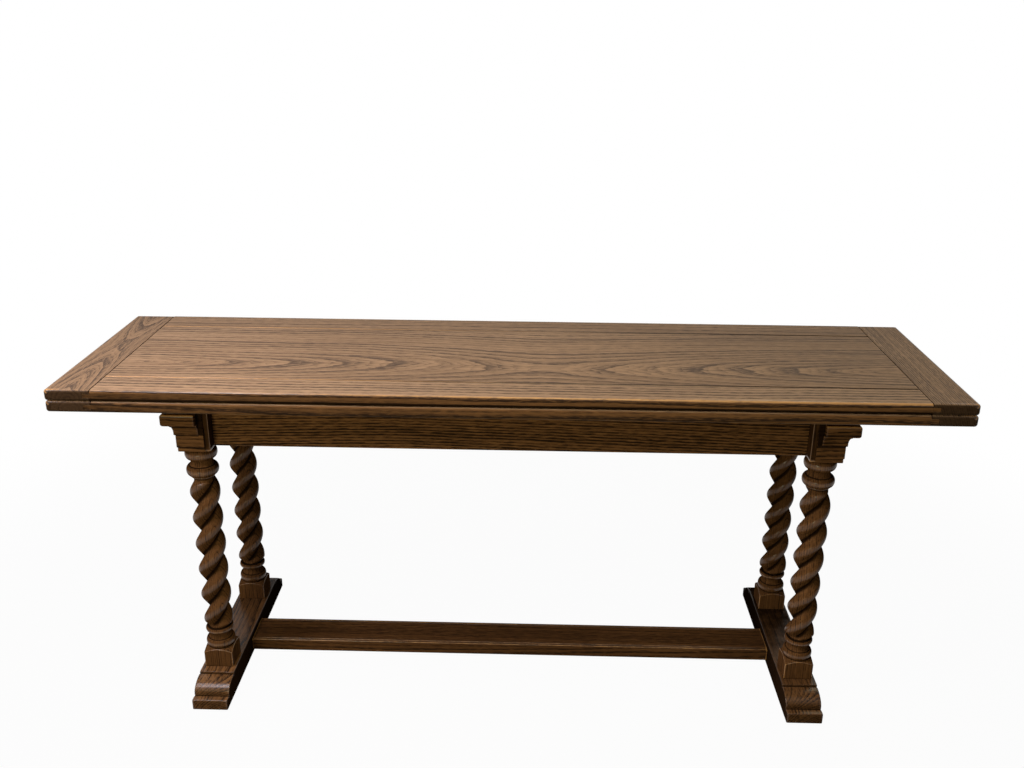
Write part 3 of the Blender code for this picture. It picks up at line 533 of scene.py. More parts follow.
def oak(name, stain, axes, figure, seed, polish=0.0, rim=0.0, end_grain=0.0, marks=1.0):
    """Waxed oak with its grain along the first of three axes.

    Early wood, threads within a year, flecks, streaks and pores make the dark lines, and marks is their
    strength. Worn arrises turn golden and gleam, and quirks turn nearly black. Polish covers the faces that
    look up or down, rim darkens those that look across the board, and end_grain those that cut across the
    grain. The weights of the marks in tone, lines, roughness and relief were set by eye.
    """
    finish = settings().oak
    material, shader, wire = new_material(name)
    light, brown, dark = oak_colours(stain)
    place = wire.coordinates("Object")
    board = Board(wire, *[place[axis] for axis in axes], seed)
    years = growth(board, figure)
    line, pores = early_wood(board, years), open_pores(board, years)
    thread = (1.0 - (years * THREADS_IN_YEAR).fraction()) ** 2.0
    mottle, streak, fibre = [grain(board, mark) for mark in (MOTTLE, STREAK, FIBRE)]
    fleck = grain(board, FLECK).step(0.36, 0.62)
    tone = (mottle - 0.5) * 1.1 + (streak - 0.5) * 1.0 + (fibre - 0.5) * 0.6 + (0.5 + figure.pale)
    dark_streak = (0.50 - streak).step(0.0, 0.25)
    shade = (line + thread * 0.30) * (0.40 + 0.85 * fleck) + pores * 0.25 + dark_streak * 0.20
    lines = shade.step(0.0, 0.68 / marks)
    body = wire.mix(lines, wire.mix(tone.step(0.12, 0.88), brown, light), dark)

    normal = wire.coordinates("Normal")
    level, edge, cut = [normal[axis].absolute().step(*FACING) for axis in (2, axes[1], axes[0])]
    # Faces that look across the board take painted shade, which keeps the dark lines of the grain
    side_shade_colour = finish.top_edge_shade if stain == "top" else finish.frame_dark
    body = wire.mix(edge * rim, body, wire.mix(lines, side_shade_colour, finish.frame_dark))
    body = wire.mix(cut * end_grain, body, finish.frame_dark)

    x, y, z = [part * PATCH_SCALE for part in place]
    patch = wire.noise(wire.joined(x + seed, y, z), 3.0, 0.65)
    # Golden arrises are wear and, where the pieces weight them so, painted highlights; near-black is dirt and
    # painted shade
    rubbed_and_lit = wire.attribute("wear")
    wear = (rubbed_and_lit * (patch * 1.7 + 0.1)).step(0.42, 1.05) * 0.75
    grime = (wire.attribute("grime") * (patch + 0.55)).step(0.12, 0.80)
    body = wire.mix(wear * (1.0 - pores * 0.6), body, finish.worn)
    body = wire.mix(grime * 0.92, body, finish.grime)
    rough = finish.roughness + pores * 0.14 + (mottle - 0.5) * 0.22 + grime * 0.25 + line * 0.06
    relief = 1.0 - pores * 0.75 - line * 0.22 + fibre * 0.20 + mottle * 0.25
    bump = wire.node("ShaderNodeBump", {}, {"Strength": 0.55, "Distance": finish.pore_depth,
                                            "Height": relief})
    gleam = (rubbed_and_lit * (patch + 0.5)).step(0.15, 0.50) * finish.gleam
    coat = (level * (1.0 - grime) * polish).larger(gleam)
    body.feed(shader, "Base Color")
    rough.feed(shader, "Roughness")
    bump.feed(shader, "Normal")
    coat.feed(shader, "Coat Weight")
    shader.inputs["Coat Roughness"].default_value = finish.polish_roughness
    shader.inputs["Specular IOR Level"].default_value = finish.gloss
    return material


def brass():
    """Old brass: clean metal with cloudy tarnish and fine scratches along the hinge."""
    finish = settings().oak
    material, shader, wire = new_material("old_brass")
    metal = Board(wire, *wire.coordinates("Object"), 0.0)
    cloud, scratch = grain(metal, CLOUD), grain(metal, SCRATCH)
    stain = (cloud * 0.8 + scratch * 0.3).step(0.40, 0.72)
    body = wire.mix(stain, finish.tarnish, finish.brass)
    rough = 0.52 - stain * 0.20 + scratch * 0.10
    bump = wire.node("ShaderNodeBump", {}, {"Strength": 0.25, "Distance": finish.scratch_depth,
                                            "Height": scratch})
    body.feed(shader, "Base Color")
    rough.feed(shader, "Roughness")
    bump.feed(shader, "Normal")
    shader.inputs["Metallic"].default_value = 1.0
    return material


# Surfaces


def add_piece(name, rows, wear, grime, material, node, flat=True):
    """A closed skin over rows of points that stands for a CAD node.

    Rows of equal count are joined by quads, round each row and from row to row, and a face closes each end.
    The skin is turned outwards by its signed volume, and points that fall together are merged.
    """
    count, around = rows.shape[:2]
    index = np.arange(count * around).reshape(count, around)
    here, ahead = index[:-1], index[1:]
    quads = np.stack([here, np.roll(here, -1, 1), np.roll(ahead, -1, 1), ahead], -1).reshape(-1, 4)
    faces = quads.tolist() + [index[0, ::-1].tolist(), index[-1].tolist()]
    mesh = bpy.data.meshes.new(name)
    mesh.from_pydata(rows.reshape(-1, 3).tolist(), [], faces)
    # The two layers hold wear and painted highlights, and dirt and painted shade
    for label, values in (("wear", wear), ("grime", grime)):
        layer = mesh.attributes.new(label, "FLOAT", "POINT")
        layer.data.foreach_set("value", np.broadcast_to(values, (count, around)).astype(np.float32).ravel())
    form = bmesh.new()
    form.from_mesh(mesh)
    bmesh.ops.remove_doubles(form, verts=form.verts, dist=MERGE_DISTANCE)
    bmesh.ops.dissolve_degenerate(form, edges=form.edges, dist=MERGE_DISTANCE)
    if form.calc_volume(signed=True) < 0:
        bmesh.ops.reverse_faces(form, faces=form.faces)
    form.to_mesh(mesh)
    form.free()
    mesh.shade_smooth()
    mesh.set_sharp_from_angle(angle=SHARP_ANGLE)
    mesh.materials.append(material)
    piece = bpy.data.objects.new(name, mesh)
    bpy.context.scene.collection.objects.link(piece)
    if flat:
        modifier = piece.modifiers.new("flat_faces", "WEIGHTED_NORMAL")
        modifier.weight = 100
        modifier.keep_sharp = True
    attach(piece, frame["nodes"][node]["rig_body"])
    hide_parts(node)
    return piece


Outline = namedtuple("Outline", "points wear grime leave ease spread")


def corner(a, b, radius, wear=1.0, ends=(None, None), arris=ARRIS):
    """A corner of an outline, with the easing at both ends of the edge that leaves it.

    A wear below zero stands for grime, as on the arrises of a seam.
    """
    low, high = [arris if value is None else value for value in ends]
    return a, b, max(radius, LEAST_EASE), wear, low, high


def edge_supports(arcs, leave, spread):
    """Arcs with two more points on the edge that follows each.

    They lie a spread, or less on a short edge, from both its ends.
    """
    start, end = arcs[:, -1], np.roll(arcs[:, 0], -1, 0)
    straight = ((end - start) * leave).sum(1, keepdims=True)
    fade = leave * np.clip(EDGE_SHARE * straight, 0.0, spread)
    return np.concatenate([arcs, (start + fade)[:, None], (end - fade)[:, None]], 1)


def eased_outline(corners, spread=WEAR_REACH):
    """Closed outline, counter-clockwise, with each corner turned into an arc.

    An arc of radius r at a corner that turns by t starts and ends r tan(t / 2) from the corner. Two more
    points on each straight edge keep wear and grime close to its ends. Outward arcs wear, most where they
    face up by MOST_RUBBED, and inward arcs gather grime.
    """
    table = np.array(corners, float)
    place, radius, weight, ease = table[:, :2], table[:, 2], table[:, 3], table[:, 4:]
    edge = np.roll(place, -1, 0) - place
    size = np.hypot(edge[:, 0], edge[:, 1])
    leave = edge / size[:, None]
    arrive = np.roll(leave, 1, 0)
    turn = np.arctan2(arrive[:, 0] * leave[:, 1] - arrive[:, 1] * leave[:, 0], (arrive * leave).sum(1))
    half = np.tan(np.maximum(np.abs(turn), LEAST_TURN) / 2)
    reach = np.minimum(radius * half, ARC_SHARE * np.minimum(size, np.roll(size, 1)))
    bend = (reach / half)[:, None, None]
    inward = np.stack([-arrive[:, 1], arrive[:, 0]], 1) * np.sign(turn)[:, None]
    share = np.linspace(0.0, 1.0, ARC_STEPS + 1)
    sweep = (np.abs(turn)[:, None] * share)[..., None]
    start = place - arrive * reach[:, None]
    arcs = start[:, None] + bend * (np.sin(sweep) * arrive[:, None] + (1 - np.cos(sweep)) * inward[:, None])
    points = edge_supports(arcs, leave, spread)
    facing_up = -(arrive[:, :1] * np.cos(sweep[..., 0]) + inward[:, :1] * np.sin(sweep[..., 0]))
    rubbed_and_lit = np.clip(1 - np.abs(facing_up - MOST_RUBBED_AND_LIT) / RUBBED_AND_LIT_RANGE, LEAST_RUBBED_AND_LIT, 1.0)
    on_arc = np.concatenate([rubbed_and_lit, np.zeros((len(table), 2))], 1)
    wear = on_arc * (np.maximum(weight, 0.0) * (turn > 0))[:, None]
    # Inward arcs gather dirt; negative weights darken arrises, as dirt at seams and as painted shade under
    # the upper leaf
    dirt_and_shade = np.where(turn < 0, np.abs(weight), np.maximum(-weight, 0.0))
    grime = (on_arc > 0) * dirt_and_shade[:, None]
    return Outline(points.reshape(-1, 2), wear.ravel(), grime.ravel(), leave, ease, spread)


def inset(outline, depth):
    """Outline with each edge moved inwards by its own depth.

    An arc moves as one, to where its two moved edges meet: the move m gives m . n = depth for the inward
    normals n of both edges. The two points on each edge are then set out again between the moved arcs.
    """
    after = np.stack([-outline.leave[:, 1], outline.leave[:, 0]], 1)
    before = np.roll(after, 1, 0)
    deep_before = np.roll(depth, 1)
    cross = before[:, 0] * after[:, 1] - before[:, 1] * after[:, 0]
    bent = np.abs(cross) > LEAST_BEND
    safe = np.where(bent, cross, 1.0)
    x = (deep_before * after[:, 1] - depth * before[:, 1]) / safe
    y = (before[:, 0] * depth - after[:, 0] * deep_before) / safe
    move = np.where(bent[:, None], np.stack([x, y], 1), after * depth[:, None])
    groups = outline.points.reshape(len(move), -1, 2)
    arcs = groups[:, :ARC_STEPS + 1] + move[:, None]
    return edge_supports(arcs, outline.leave, outline.spread).reshape(-1, 2)


def end_rows(outline, ease, rubbed_and_lit):
    """Rows that round one end: travel from the end, points, wear up to the rubbed share on its arrises.

    At a travel s an edge with easing e stands back by e - root(e squared - (e - s) squared). A first row
    inside the end face keeps wear off its middle, and a last row keeps it close to the end.
    """
    most = ease.max()
    theta = np.linspace(0.0, math.pi / 2, END_ROWS)
    travel = most * (1 - np.cos(theta))
    left = np.maximum(ease[:, None] - travel, 0.0)
    depth = ease[:, None] - np.sqrt(ease[:, None] ** 2 - left ** 2)
    rows = [inset(outline, ease + CAP_REACH)]
    rows += [inset(outline, column) for column in depth.T]
    rows.append(outline.points)
    reach = np.concatenate([[0.0], travel, [most + WEAR_REACH]])
    both = np.minimum(ease, np.roll(ease, 1)) > 2 * LEAST_EASE
    on_arcs = np.repeat(both[:, None], ARC_STEPS + 2, 1)
    eased = np.concatenate([on_arcs, np.roll(both, -1)[:, None]], 1).ravel()
    rub = rubbed_and_lit * np.concatenate([[0.0], np.sin(theta) ** 2, [0.0]])[:, None]
    kept = outline.wear * (np.arange(len(rub)) > 0)[:, None]
    return reach, np.stack(rows), np.maximum(kept, rub * eased)


def carry(outline, low, high, rubbed_and_lit=1.0):
    """An outline carried from low to high with eased ends: travel, points, wear and grime."""
    low, high = np.broadcast_to(low, len(outline.points)), np.broadcast_to(high, len(outline.points))
    near, near_rows, near_wear = end_rows(outline, outline.ease[:, 0], rubbed_and_lit)
    far, far_rows, far_wear = end_rows(outline, outline.ease[:, 1], rubbed_and_lit)
    travel = np.concatenate([low + near[:, None], (high - far[:, None])[::-1]])
    points = np.concatenate([near_rows, far_rows[::-1]])
    wear = np.concatenate([near_wear, far_wear[::-1]])
    grime = np.tile(outline.grime, (len(wear), 1))
    grime[[0, -1]] = 0.0
    return travel, points, wear, grime


def along_x(travel, points):
    """Rows in space for an outline in Y and Z carried along X."""
    return np.stack([travel, points[..., 0], points[..., 1]], -1)


def along_y(travel, points):
    """Rows in space for an outline in X and Z carried along Y."""
    return np.stack([points[..., 0], travel, points[..., 1]], -1)


# Leaves


def tongue_heights(low, high):
    """Lower and upper face of the tongues of a leaf."""
    middle, half = (low + high) / 2, settings().joinery.tongue_thickness / 2
    return middle - half, middle + half


def hinge_beds(leaf):
    """Spans along X of the hinge plates of a leaf."""
    boxes = [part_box(f"{name}_hinge_{leaf}_plate") for name in HINGES]
    return [(low.x - FIT, high.x + FIT) for low, high in boxes]


def bed_steps():
    """Depth of a hinge bed by its reach from the pin: for the knuckles and for the hinge plate."""
    joinery = settings().joinery
    return {joinery.knuckle_radius + 2 * FIT: joinery.knuckle_radius + FIT,
            joinery.plate_height + FIT: joinery.plate_thickness + FIT}


def bed_marks(pin, way):
    """Heights on both sides of each step of a hinge bed."""
    near = FIT / 10
    return sorted(pin + way * reach + side * near for reach in bed_steps() for side in (-1, 1))


def hinge_bed(full, pin, way, back):
    """Section of a rear strip with its rear face held back for the knuckles and the hinge plate."""
    bed = full.copy()
    for reach, depth in bed_steps().items():
        inside = (full[:, 1] - pin) * way < reach
        bed[inside, 0] = np.minimum(bed[inside, 0], back - depth)
    return bed


def board_outline(low, high, front_edge, rear_rounds, rear_wear, marks):
    """Section of a leaf board in Y and Z; marks are heights where the rear face may be cut back."""
    lower, upper = rear_rounds
    cuts = [corner(high.y, mark, LEAST_EASE, 0.0) for mark in marks]
    front, under_mark, over_mark = front_edge
    return eased_outline([corner(low.y, low.z, front, under_mark),
                          corner(high.y, low.z, lower, rear_wear), *cuts,
                          corner(high.y, high.z, upper, rear_wear),
                          corner(low.y, high.z, front, over_mark)], SEAM_REACH)


def board_wear_and_light(outline, name, low, high, drift, shoulders):
    """Wear and grime of a board's rows; drift runs from -1 at the left tip to 1 at the right one.

    The front strip's face is soiled towards the left, and its arrises wear more towards the right. On the
    other boards the arris of the front seam is worn at the left and turns dirty towards the right.
    """
    across = outline.points[:, 0]
    # This share is 1 at the left tip and 0 at the right one; it scales painted shade on the front strip and
    # painted highlights on seams
    clean = (1 - drift) / 2
    grime = np.maximum(outline.grime, shoulders * -SEAM_GRIME)
    if name == "front_strip":
        # Painted shade on the front face towards the left, and arrises lighter towards the right by wear and
        # painted light
        left_shade = (across < low.y + FIT) * FRONT_LEFT_SHADE * clean
        return outline.wear * (1 + FRONT_LIGHT_DRIFT * drift), np.maximum(grime, left_shade)
    # A seam's front arris takes a painted highlight at the left and darkens towards the right
    seam = (outline.wear > 0) & (across < (low.y + high.y) / 2)
    return np.where(seam, outline.wear * clean, outline.wear), np.maximum(grime, seam * (1 - clean))


def leaf_board(leaf, name, material):
    """A board of a leaf along X: tongue, shoulder, full section, and beds where hinge plates are let in.

    Every row has the same section. A tongue is the section with its heights held between the tongue's faces,
    and a bed is the section with its rear face held back.
    """
    joinery = settings().joinery
    node = f"{leaf}_leaf_{name}"
    low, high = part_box(node)
    edge, seam = joinery.edge_round, joinery.seam_round
    hinged = name == "rear_strip"
    pin = frame["joints_by_name"]["leaf_fold"]["pos_m"][2]
    way = 1 if leaf == "upper" else -1
    # Front arrises wear, the upper leaf's lower one takes painted shade, and a seam's front arris a painted
    # highlight
    front = (edge, *FRONT_WEAR_AND_SHADE[leaf]) if name == "front_strip" else (seam, RAIL_GLINT, RAIL_GLINT)
    rear, rear_wear, marks = (seam, seam), RAIL_GRIME, []
    if hinged:
        meeting = LEAST_EASE * 2
        rear, rear_wear = ((meeting, edge) if leaf == "upper" else (edge, meeting)), 1.0
        marks = bed_marks(pin, way)
    outline = board_outline(low, high, front, rear, rear_wear, marks)
    full = outline.points
    tongue = full.copy()
    tongue[:, 1] = np.clip(full[:, 1], *tongue_heights(low.z, high.z))
    tip, shoulder = high.x, high.x - joinery.tongue_length
    ease = joinery.arris / 2
    shouldered = inset(outline, np.full(len(outline.leave), ease))
    stations = [(-tip, tongue), (-shoulder, tongue), (-shoulder, shouldered), (-shoulder + ease, full)]
    if hinged:
        bed = hinge_bed(full, pin, way, high.y)
        for start, end in hinge_beds(leaf):
            stations += [(start, full), (start, bed), (end, bed), (end, full)]
    stations += [(shoulder - ease, full), (shoulder, shouldered), (shoulder, tongue), (tip, tongue)]
    places, sections = zip(*stations)
    travel = np.array(places)[:, None] * np.ones(len(full))
    points = np.stack(sections)
    shoulders = np.array([section is shouldered for section in sections])[:, None]
    wear, grime = board_wear_and_light(outline, name, low, high, travel / tip, shoulders)
    return add_piece(f"board_{node}", along_x(travel, points), wear, grime, material, node)


def leaf_clamp(leaf, side, material):
    """End clamp of a leaf: a grooved section in X and Z carried along Y, with rounded ends and edges."""
    joinery = settings().joinery
    node = f"{leaf}_leaf_{side}_clamp"
    low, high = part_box(node)
    way = SIDES[side]
    inner, outer = sorted((abs(low.x), abs(high.x)))
    floor = inner + joinery.tongue_length + FIT
    groove_low, groove_high = tongue_heights(low.z, high.z)
    groove_low, groove_high = groove_low - FIT, groove_high + FIT
    edge, seam = joinery.edge_round, joinery.arris / 2
    meeting = 2 * joinery.arris
    under = (edge, edge if leaf == "lower" else meeting)
    over = (edge, edge if leaf == "upper" else meeting)
    bare = (LEAST_EASE, LEAST_EASE)
    outline = eased_outline([
        corner(inner, low.z, seam, SEAM_GRIME, under), corner(outer, low.z, edge, 1.0, (edge, edge)),
        corner(outer, high.z, edge, 1.0, over), corner(inner, high.z, seam, SEAM_GRIME, bare),
        corner(inner, groove_high, 0.0, 0.0, bare), corner(floor, groove_high, 0.0, 1.0, bare),
        corner(floor, groove_low, 0.0, 1.0, bare), corner(inner, groove_low, 0.0, 0.0, bare)], SEAM_REACH)
    travel, points, wear, grime = carry(outline, low.y, high.y)
    rows = along_y(travel, points)
    rows[..., 0] *= way
    return add_piece(f"board_{node}", rows, wear, grime, material, node)


# Legs

# Points of a leg: columns round it, and stations on its parts
LEG_COLUMNS = 144
TWIST_STATIONS = 380
SHOULDER_STATIONS = 26
RING_STATIONS = 34
FOOT_BEAD_STATIONS = 24
HEAD_BEAD_STATIONS = 22
NECK_STATIONS = 12
EASE_STATIONS = 5

# Reach of wear and grime from the ends of a block, a shoulder, a fillet and the twist, and beside an arch
BLOCK_REACH = 0.006
SHOULDER_REACH = 0.004
FILLET_REACH = 0.002
TWIST_REACH = 0.004
ARCH_REACH = 0.0014

# Width of the dirty ring round the fillet under the top block
QUIRK_RING = 0.001

# Strength of wear and grime on the parts of a leg, and the shares of a strand's height where they start
BEAD_WEAR = 0.6
FILLET_WEAR = 0.8
# Wear on the upright arrises of the square blocks, with a painted highlight
CORNER_WEAR_AND_LIGHT = 0.9
CREST_WEAR = 0.45
CREST_START = 0.72
# Below this share of a strand's height the twist's grooves darken: dirt, and painted shade in the valleys
GROOVE_START = 0.42
NECK_GRIME = 0.8
QUIRK_GRIME = 0.8
FILLET_GRIME = (0.3, 1.0)
# Painted shade on the faces of the top block, which lie under the leaves
TOP_BLOCK_SHADE = 0.46

# How far columns gather at the corners of the blocks, and over what height
CORNER_PULL = 0.8
PULL_REACH = 0.03

# Unevenness of handwork on the strands: heights of two waves, and their radians per metre
LONG_WAVE = 0.00022
LONG_WAVE_PITCH = 61.0
SHORT_WAVE = 0.00015
SHORT_WAVE_PITCH = 143.0


def turned(z, limit, half=0.0, twist=0.0, wear=0.0, grime=0.0):
    """Stations of a leg: height, round radius, half side of a square, share of twist, wear and grime."""
    return np.stack(np.broadcast_arrays(np.atleast_1d(z), limit, half, twist, wear, grime)).astype(float)


def turned_bead(low, height, core, swell, steps):
    """Half an ellipse on a core: radius core + (swell - core) sin a at low + height (1 - cos a) / 2."""
    sweep = np.linspace(0.0, math.pi, steps)
    rise = np.sin(sweep)
    return turned(low + height * (1 - np.cos(sweep)) / 2, core + (swell - core) * rise,
                  wear=BEAD_WEAR * rise ** 8, grime=(1 - rise) ** 3)


def leg_stations(bottom, top):
    """All stations of a leg from foot to frame top, and the heights where the twist starts and ends."""
    size = settings().turning
    half, ease = size.block_width / 2, settings().joinery.arris
    corner_radius = half * math.sqrt(2)
    open_limit = 2 * corner_radius
    shoulder = bottom + size.foot_block
    torus = shoulder + size.shoulder
    neck = torus + size.foot_torus
    low_bead = neck + size.foot_neck
    twist_low = low_bead + size.foot_bead
    block = top - size.top_block
    ring = block - size.head_fillet - size.head_ring
    head_torus = ring - size.head_neck - size.head_torus
    twist_high = head_torus - size.head_bead
    quarter = np.linspace(0.0, math.pi / 2, EASE_STATIONS)
    arc, back = ease * (1 - np.cos(quarter)), ease * (1 - np.sin(quarter))
    rise = np.linspace(0.0, 1.0, SHOULDER_STATIONS)
    limit = corner_radius + (size.shoulder_radius - corner_radius) * rise
    neck_end = size.neck_radius + size.neck_flare
    hollow = np.linspace(-1.0, 1.0, NECK_STATIONS)
    neck_radius = size.neck_radius + size.neck_flare * hollow ** 2
    neck_grime = NECK_GRIME * np.abs(hollow) ** 8
    twist_z = np.linspace(twist_low, twist_high, TWIST_STATIONS)
    from_end = np.minimum(twist_z - twist_low, twist_high - twist_z)
    depth = np.minimum(from_end / size.runout, 1.0)
    depth = depth * depth * (3 - 2 * depth)
    ends = np.maximum(1 - from_end / TWIST_REACH, 0.0)
    foot_sides = np.array([bottom + BLOCK_REACH, shoulder - SHOULDER_REACH])
    fillet_sides = np.array([block - FILLET_REACH, block])
    head_sides = np.array([block + BLOCK_REACH, top - BLOCK_REACH, top])
    fillet_radius = size.head_fillet_radius
    stations = np.concatenate([
        turned(bottom + arc, open_limit, half - back, grime=1 - quarter / 2),
        turned(foot_sides, open_limit, half),
        turned(shoulder + size.shoulder * rise, limit, half, grime=rise ** 12),
        turned_bead(torus, size.foot_torus, neck_end, size.foot_torus_radius, RING_STATIONS),
        turned(neck + size.foot_neck * (hollow + 1) / 2, neck_radius, grime=neck_grime),
        turned_bead(low_bead, size.foot_bead, neck_end, size.foot_bead_radius, FOOT_BEAD_STATIONS),
        turned(twist_z, size.end_radius, twist=depth, grime=ends),
        turned_bead(twist_high, size.head_bead, size.end_radius, size.head_bead_radius, HEAD_BEAD_STATIONS),
        turned_bead(head_torus, size.head_torus, neck_end, size.head_torus_radius, RING_STATIONS),
        turned(ring - size.head_neck * (1 - hollow) / 2, neck_radius, grime=neck_grime),
        turned_bead(ring, size.head_ring, neck_end, size.head_torus_radius, RING_STATIONS),
        turned(block - size.head_fillet + arc, fillet_radius - back, wear=FILLET_WEAR),
        turned(fillet_sides, fillet_radius, grime=np.array(FILLET_GRIME)),
        turned(block, fillet_radius + QUIRK_RING, half, grime=QUIRK_GRIME),
        turned(block + arc, open_limit, half - back, wear=1.0),
        # painted shade on the faces of the top block
        turned(head_sides, open_limit, half, grime=TOP_BLOCK_SHADE)], 1)
    return stations, twist_low, twist_high


def eased_square(sweep, half, ease):
    """Distance to a square of half side h whose corners are arcs of radius e about centres at h - e."""
    cos, sin = np.abs(np.cos(sweep)), np.abs(np.sin(sweep))
    face = half / np.maximum(cos, sin)
    centre = half - ease
    arc = centre * (cos + sin) + np.sqrt(np.maximum(ease ** 2 - (centre * (cos - sin)) ** 2, 0.0))
    on_arc = np.minimum(cos, sin) * face > centre
    return np.where(on_arc, np.minimum(arc, face), face), on_arc


def leg(end, side, phase, material):
    """Leg as a distance from its axis over height and sweep.

    In the twist the distance is e |cos p| + root(r squared - e squared sin squared p), the skin of two
    strands of radius r whose middles stand e from the axis; p is measured from a strand, which gains a full
    turn per lead. Columns of points follow the strands, and gather at the corners of the square blocks.
    """
    size = settings().turning
    node = f"{end}_{side}_leg"
    low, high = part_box(node)
    axis = (low + high) / 2
    stations, twist_low, twist_high = leg_stations(low.z + size.tenon_length, high.z)
    z, limit, half, twist, wear, grime = stations[..., None]
    columns = np.arange(LEG_COLUMNS) * math.tau / LEG_COLUMNS
    turn = phase + math.tau * (np.clip(z, twist_low, twist_high) - size.bulge_height) / size.lead
    square = CORNER_PULL * np.clip(np.maximum(twist_low - z, z - twist_high) / PULL_REACH, 0.0, 1.0)
    strand = columns + turn
    sweep = strand + square / 4 * np.sin(4 * strand)
    off = size.strand_offset
    skin = off * np.abs(np.cos(columns)) + np.sqrt(size.strand_radius ** 2 - (off * np.sin(columns)) ** 2)
    hand = LONG_WAVE * np.sin(z * LONG_WAVE_PITCH + phase * 5.0)
    hand = hand + SHORT_WAVE * np.sin(z * SHORT_WAVE_PITCH + columns * 2.0)
    round_radius = limit + twist * (skin + hand - limit)
    block, on_corner = eased_square(sweep, np.maximum(half, size.block_ease * 2), size.block_ease)
    radius = np.where(half > 0, np.minimum(block, limit), round_radius)
    share = (skin - skin.min()) / (skin.max() - skin.min())
    crest = twist * np.clip((share - CREST_START) / (1 - CREST_START), 0.0, 1.0) ** 1.5 * CREST_WEAR
    arch = np.clip(1 - np.abs(block - limit) / ARCH_REACH, 0.0, 1.0) * (half > 0)
    wear = np.maximum(np.maximum(wear, arch), crest)
    # Upright arrises of the blocks: wear and a painted highlight
    wear = np.where((half > 0) & on_corner & (limit > block), np.maximum(wear, CORNER_WEAR_AND_LIGHT), wear)
    # Grooves of the twist: dirt, and painted shade in the valleys
    grime = np.maximum(grime, twist * np.clip((GROOVE_START - share) / GROOVE_START, 0.0, 1.0))
    rows = np.stack([axis.x + radius * np.cos(sweep), axis.y + radius * np.sin(sweep),
                     np.broadcast_to(z, radius.shape)], -1)
    return add_piece(f"turned_{node}", rows, wear, grime, material, node, flat=False)


# Frame boards and mouldings

# Easing of an apron's lower edges in arrises, and wear of its notches
APRON_EASE = 1.4
NOTCH_WEAR = 0.4


def apron(end, material):
    """Apron board: a side view in X and Z with a dovetailed notch for each runner, carried along Y."""
    joinery = settings().joinery
    node = f"{end}_apron"
    low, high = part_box(node)
    reach = high.x - joinery.tenon_length
    ease = APRON_EASE * joinery.arris
    notches = []
    for side in ("right", "left"):
        runner_low, runner_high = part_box(f"{side}_runner")
        middle, floor = (runner_low.x + runner_high.x) / 2, runner_low.z - FIT
        wide, mouth = (runner_high.x - runner_low.x) / 2 + FIT, joinery.runner_top_width / 2 + FIT
        for x, z in ((mouth, high.z), (wide, floor), (-wide, floor), (-mouth, high.z)):
            notches.append(corner(middle + x, z, LEAST_EASE, NOTCH_WEAR, arris=LEAST_EASE))
    outline = eased_outline([corner(-reach, low.z, ease, arris=ease), corner(reach, low.z, ease, arris=ease),
                             corner(reach, high.z, LEAST_EASE, 0.0), *notches,
                             corner(-reach, high.z, LEAST_EASE, 0.0)])
    travel, points, wear, grime = carry(outline, low.y, high.y)
    return add_piece(f"board_{node}", along_y(travel, points), wear, grime, material, node)


def end_rail(side, material):
    """Rail between the legs of a trestle: its end view in X and Z carried along Y."""
    joinery = settings().joinery
    node = f"{side}_end_rail"
    low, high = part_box(node)
    reach = high.y - joinery.tenon_length
    ease = joinery.arris
    outline = eased_outline([corner(low.x, low.z, ease), corner(high.x, low.z, ease),
                             corner(high.x, high.z, ease), corner(low.x, high.z, ease)])
    travel, points, wear, grime = carry(outline, -reach, reach)
    return add_piece(f"board_{node}", along_y(travel, points), wear, grime, material, node)


def cornice_outline(top):
    """Cornice section as projection and height, counter-clockwise from the foot of its back.

    From the foot up: a low fillet, a fascia, a fillet, a cove whose projection falls with the sine of its
    sweep while its height falls with the cosine, a slab with rounded edges and a board above it.
    """
    size = settings().moulding
    cove_low = top - size.cove_bottom + size.fillet
    cove_rise = (top - size.slab_bottom - size.fillet) - cove_low
    sweep = np.linspace(math.pi / 2, 0.0, COVE_POINTS)
    cove = np.stack([size.cove_top - (size.cove_top - size.cove_foot) * np.sin(sweep),
                     cove_low + cove_rise * np.cos(sweep)], 1)
    # Radii of the corners, and how much they are worn; the strong weight paints highlights on the fascia,
    # cove foot and slab top, and the cove's grime is partly painted shade under the slab
    fine, step, curve = 0.0014, 0.0003, 0.004
    rubbed_and_lit, under, hollow, faint = 1.8, 0.8, 0.45, 0.3
    corners = [corner(FIT, top - size.cornice_bottom, step, 0.0),
               corner(size.cornice_foot, top - size.cornice_bottom, fine),
               corner(size.cornice_foot, top - size.fascia_bottom, step),
               corner(size.fascia, top - size.fascia_bottom, fine, rubbed_and_lit),
               corner(size.fascia, top - size.cove_bottom, step),
               corner(size.cove_foot, top - size.cove_bottom, fine, rubbed_and_lit)]
    corners += [corner(out, z, curve, hollow) for out, z in cove]
    corners += [corner(size.cove_top, top - size.slab_bottom, step),
                corner(size.slab, top - size.slab_bottom, size.slab_round, under),
                corner(size.slab, top - size.slab_top, size.slab_round, rubbed_and_lit),
                corner(size.cornice_top, top - size.slab_top, step),
                corner(size.cornice_top, top, fine, faint),
                corner(FIT, top, step, 0.0)]
    return eased_outline(corners)


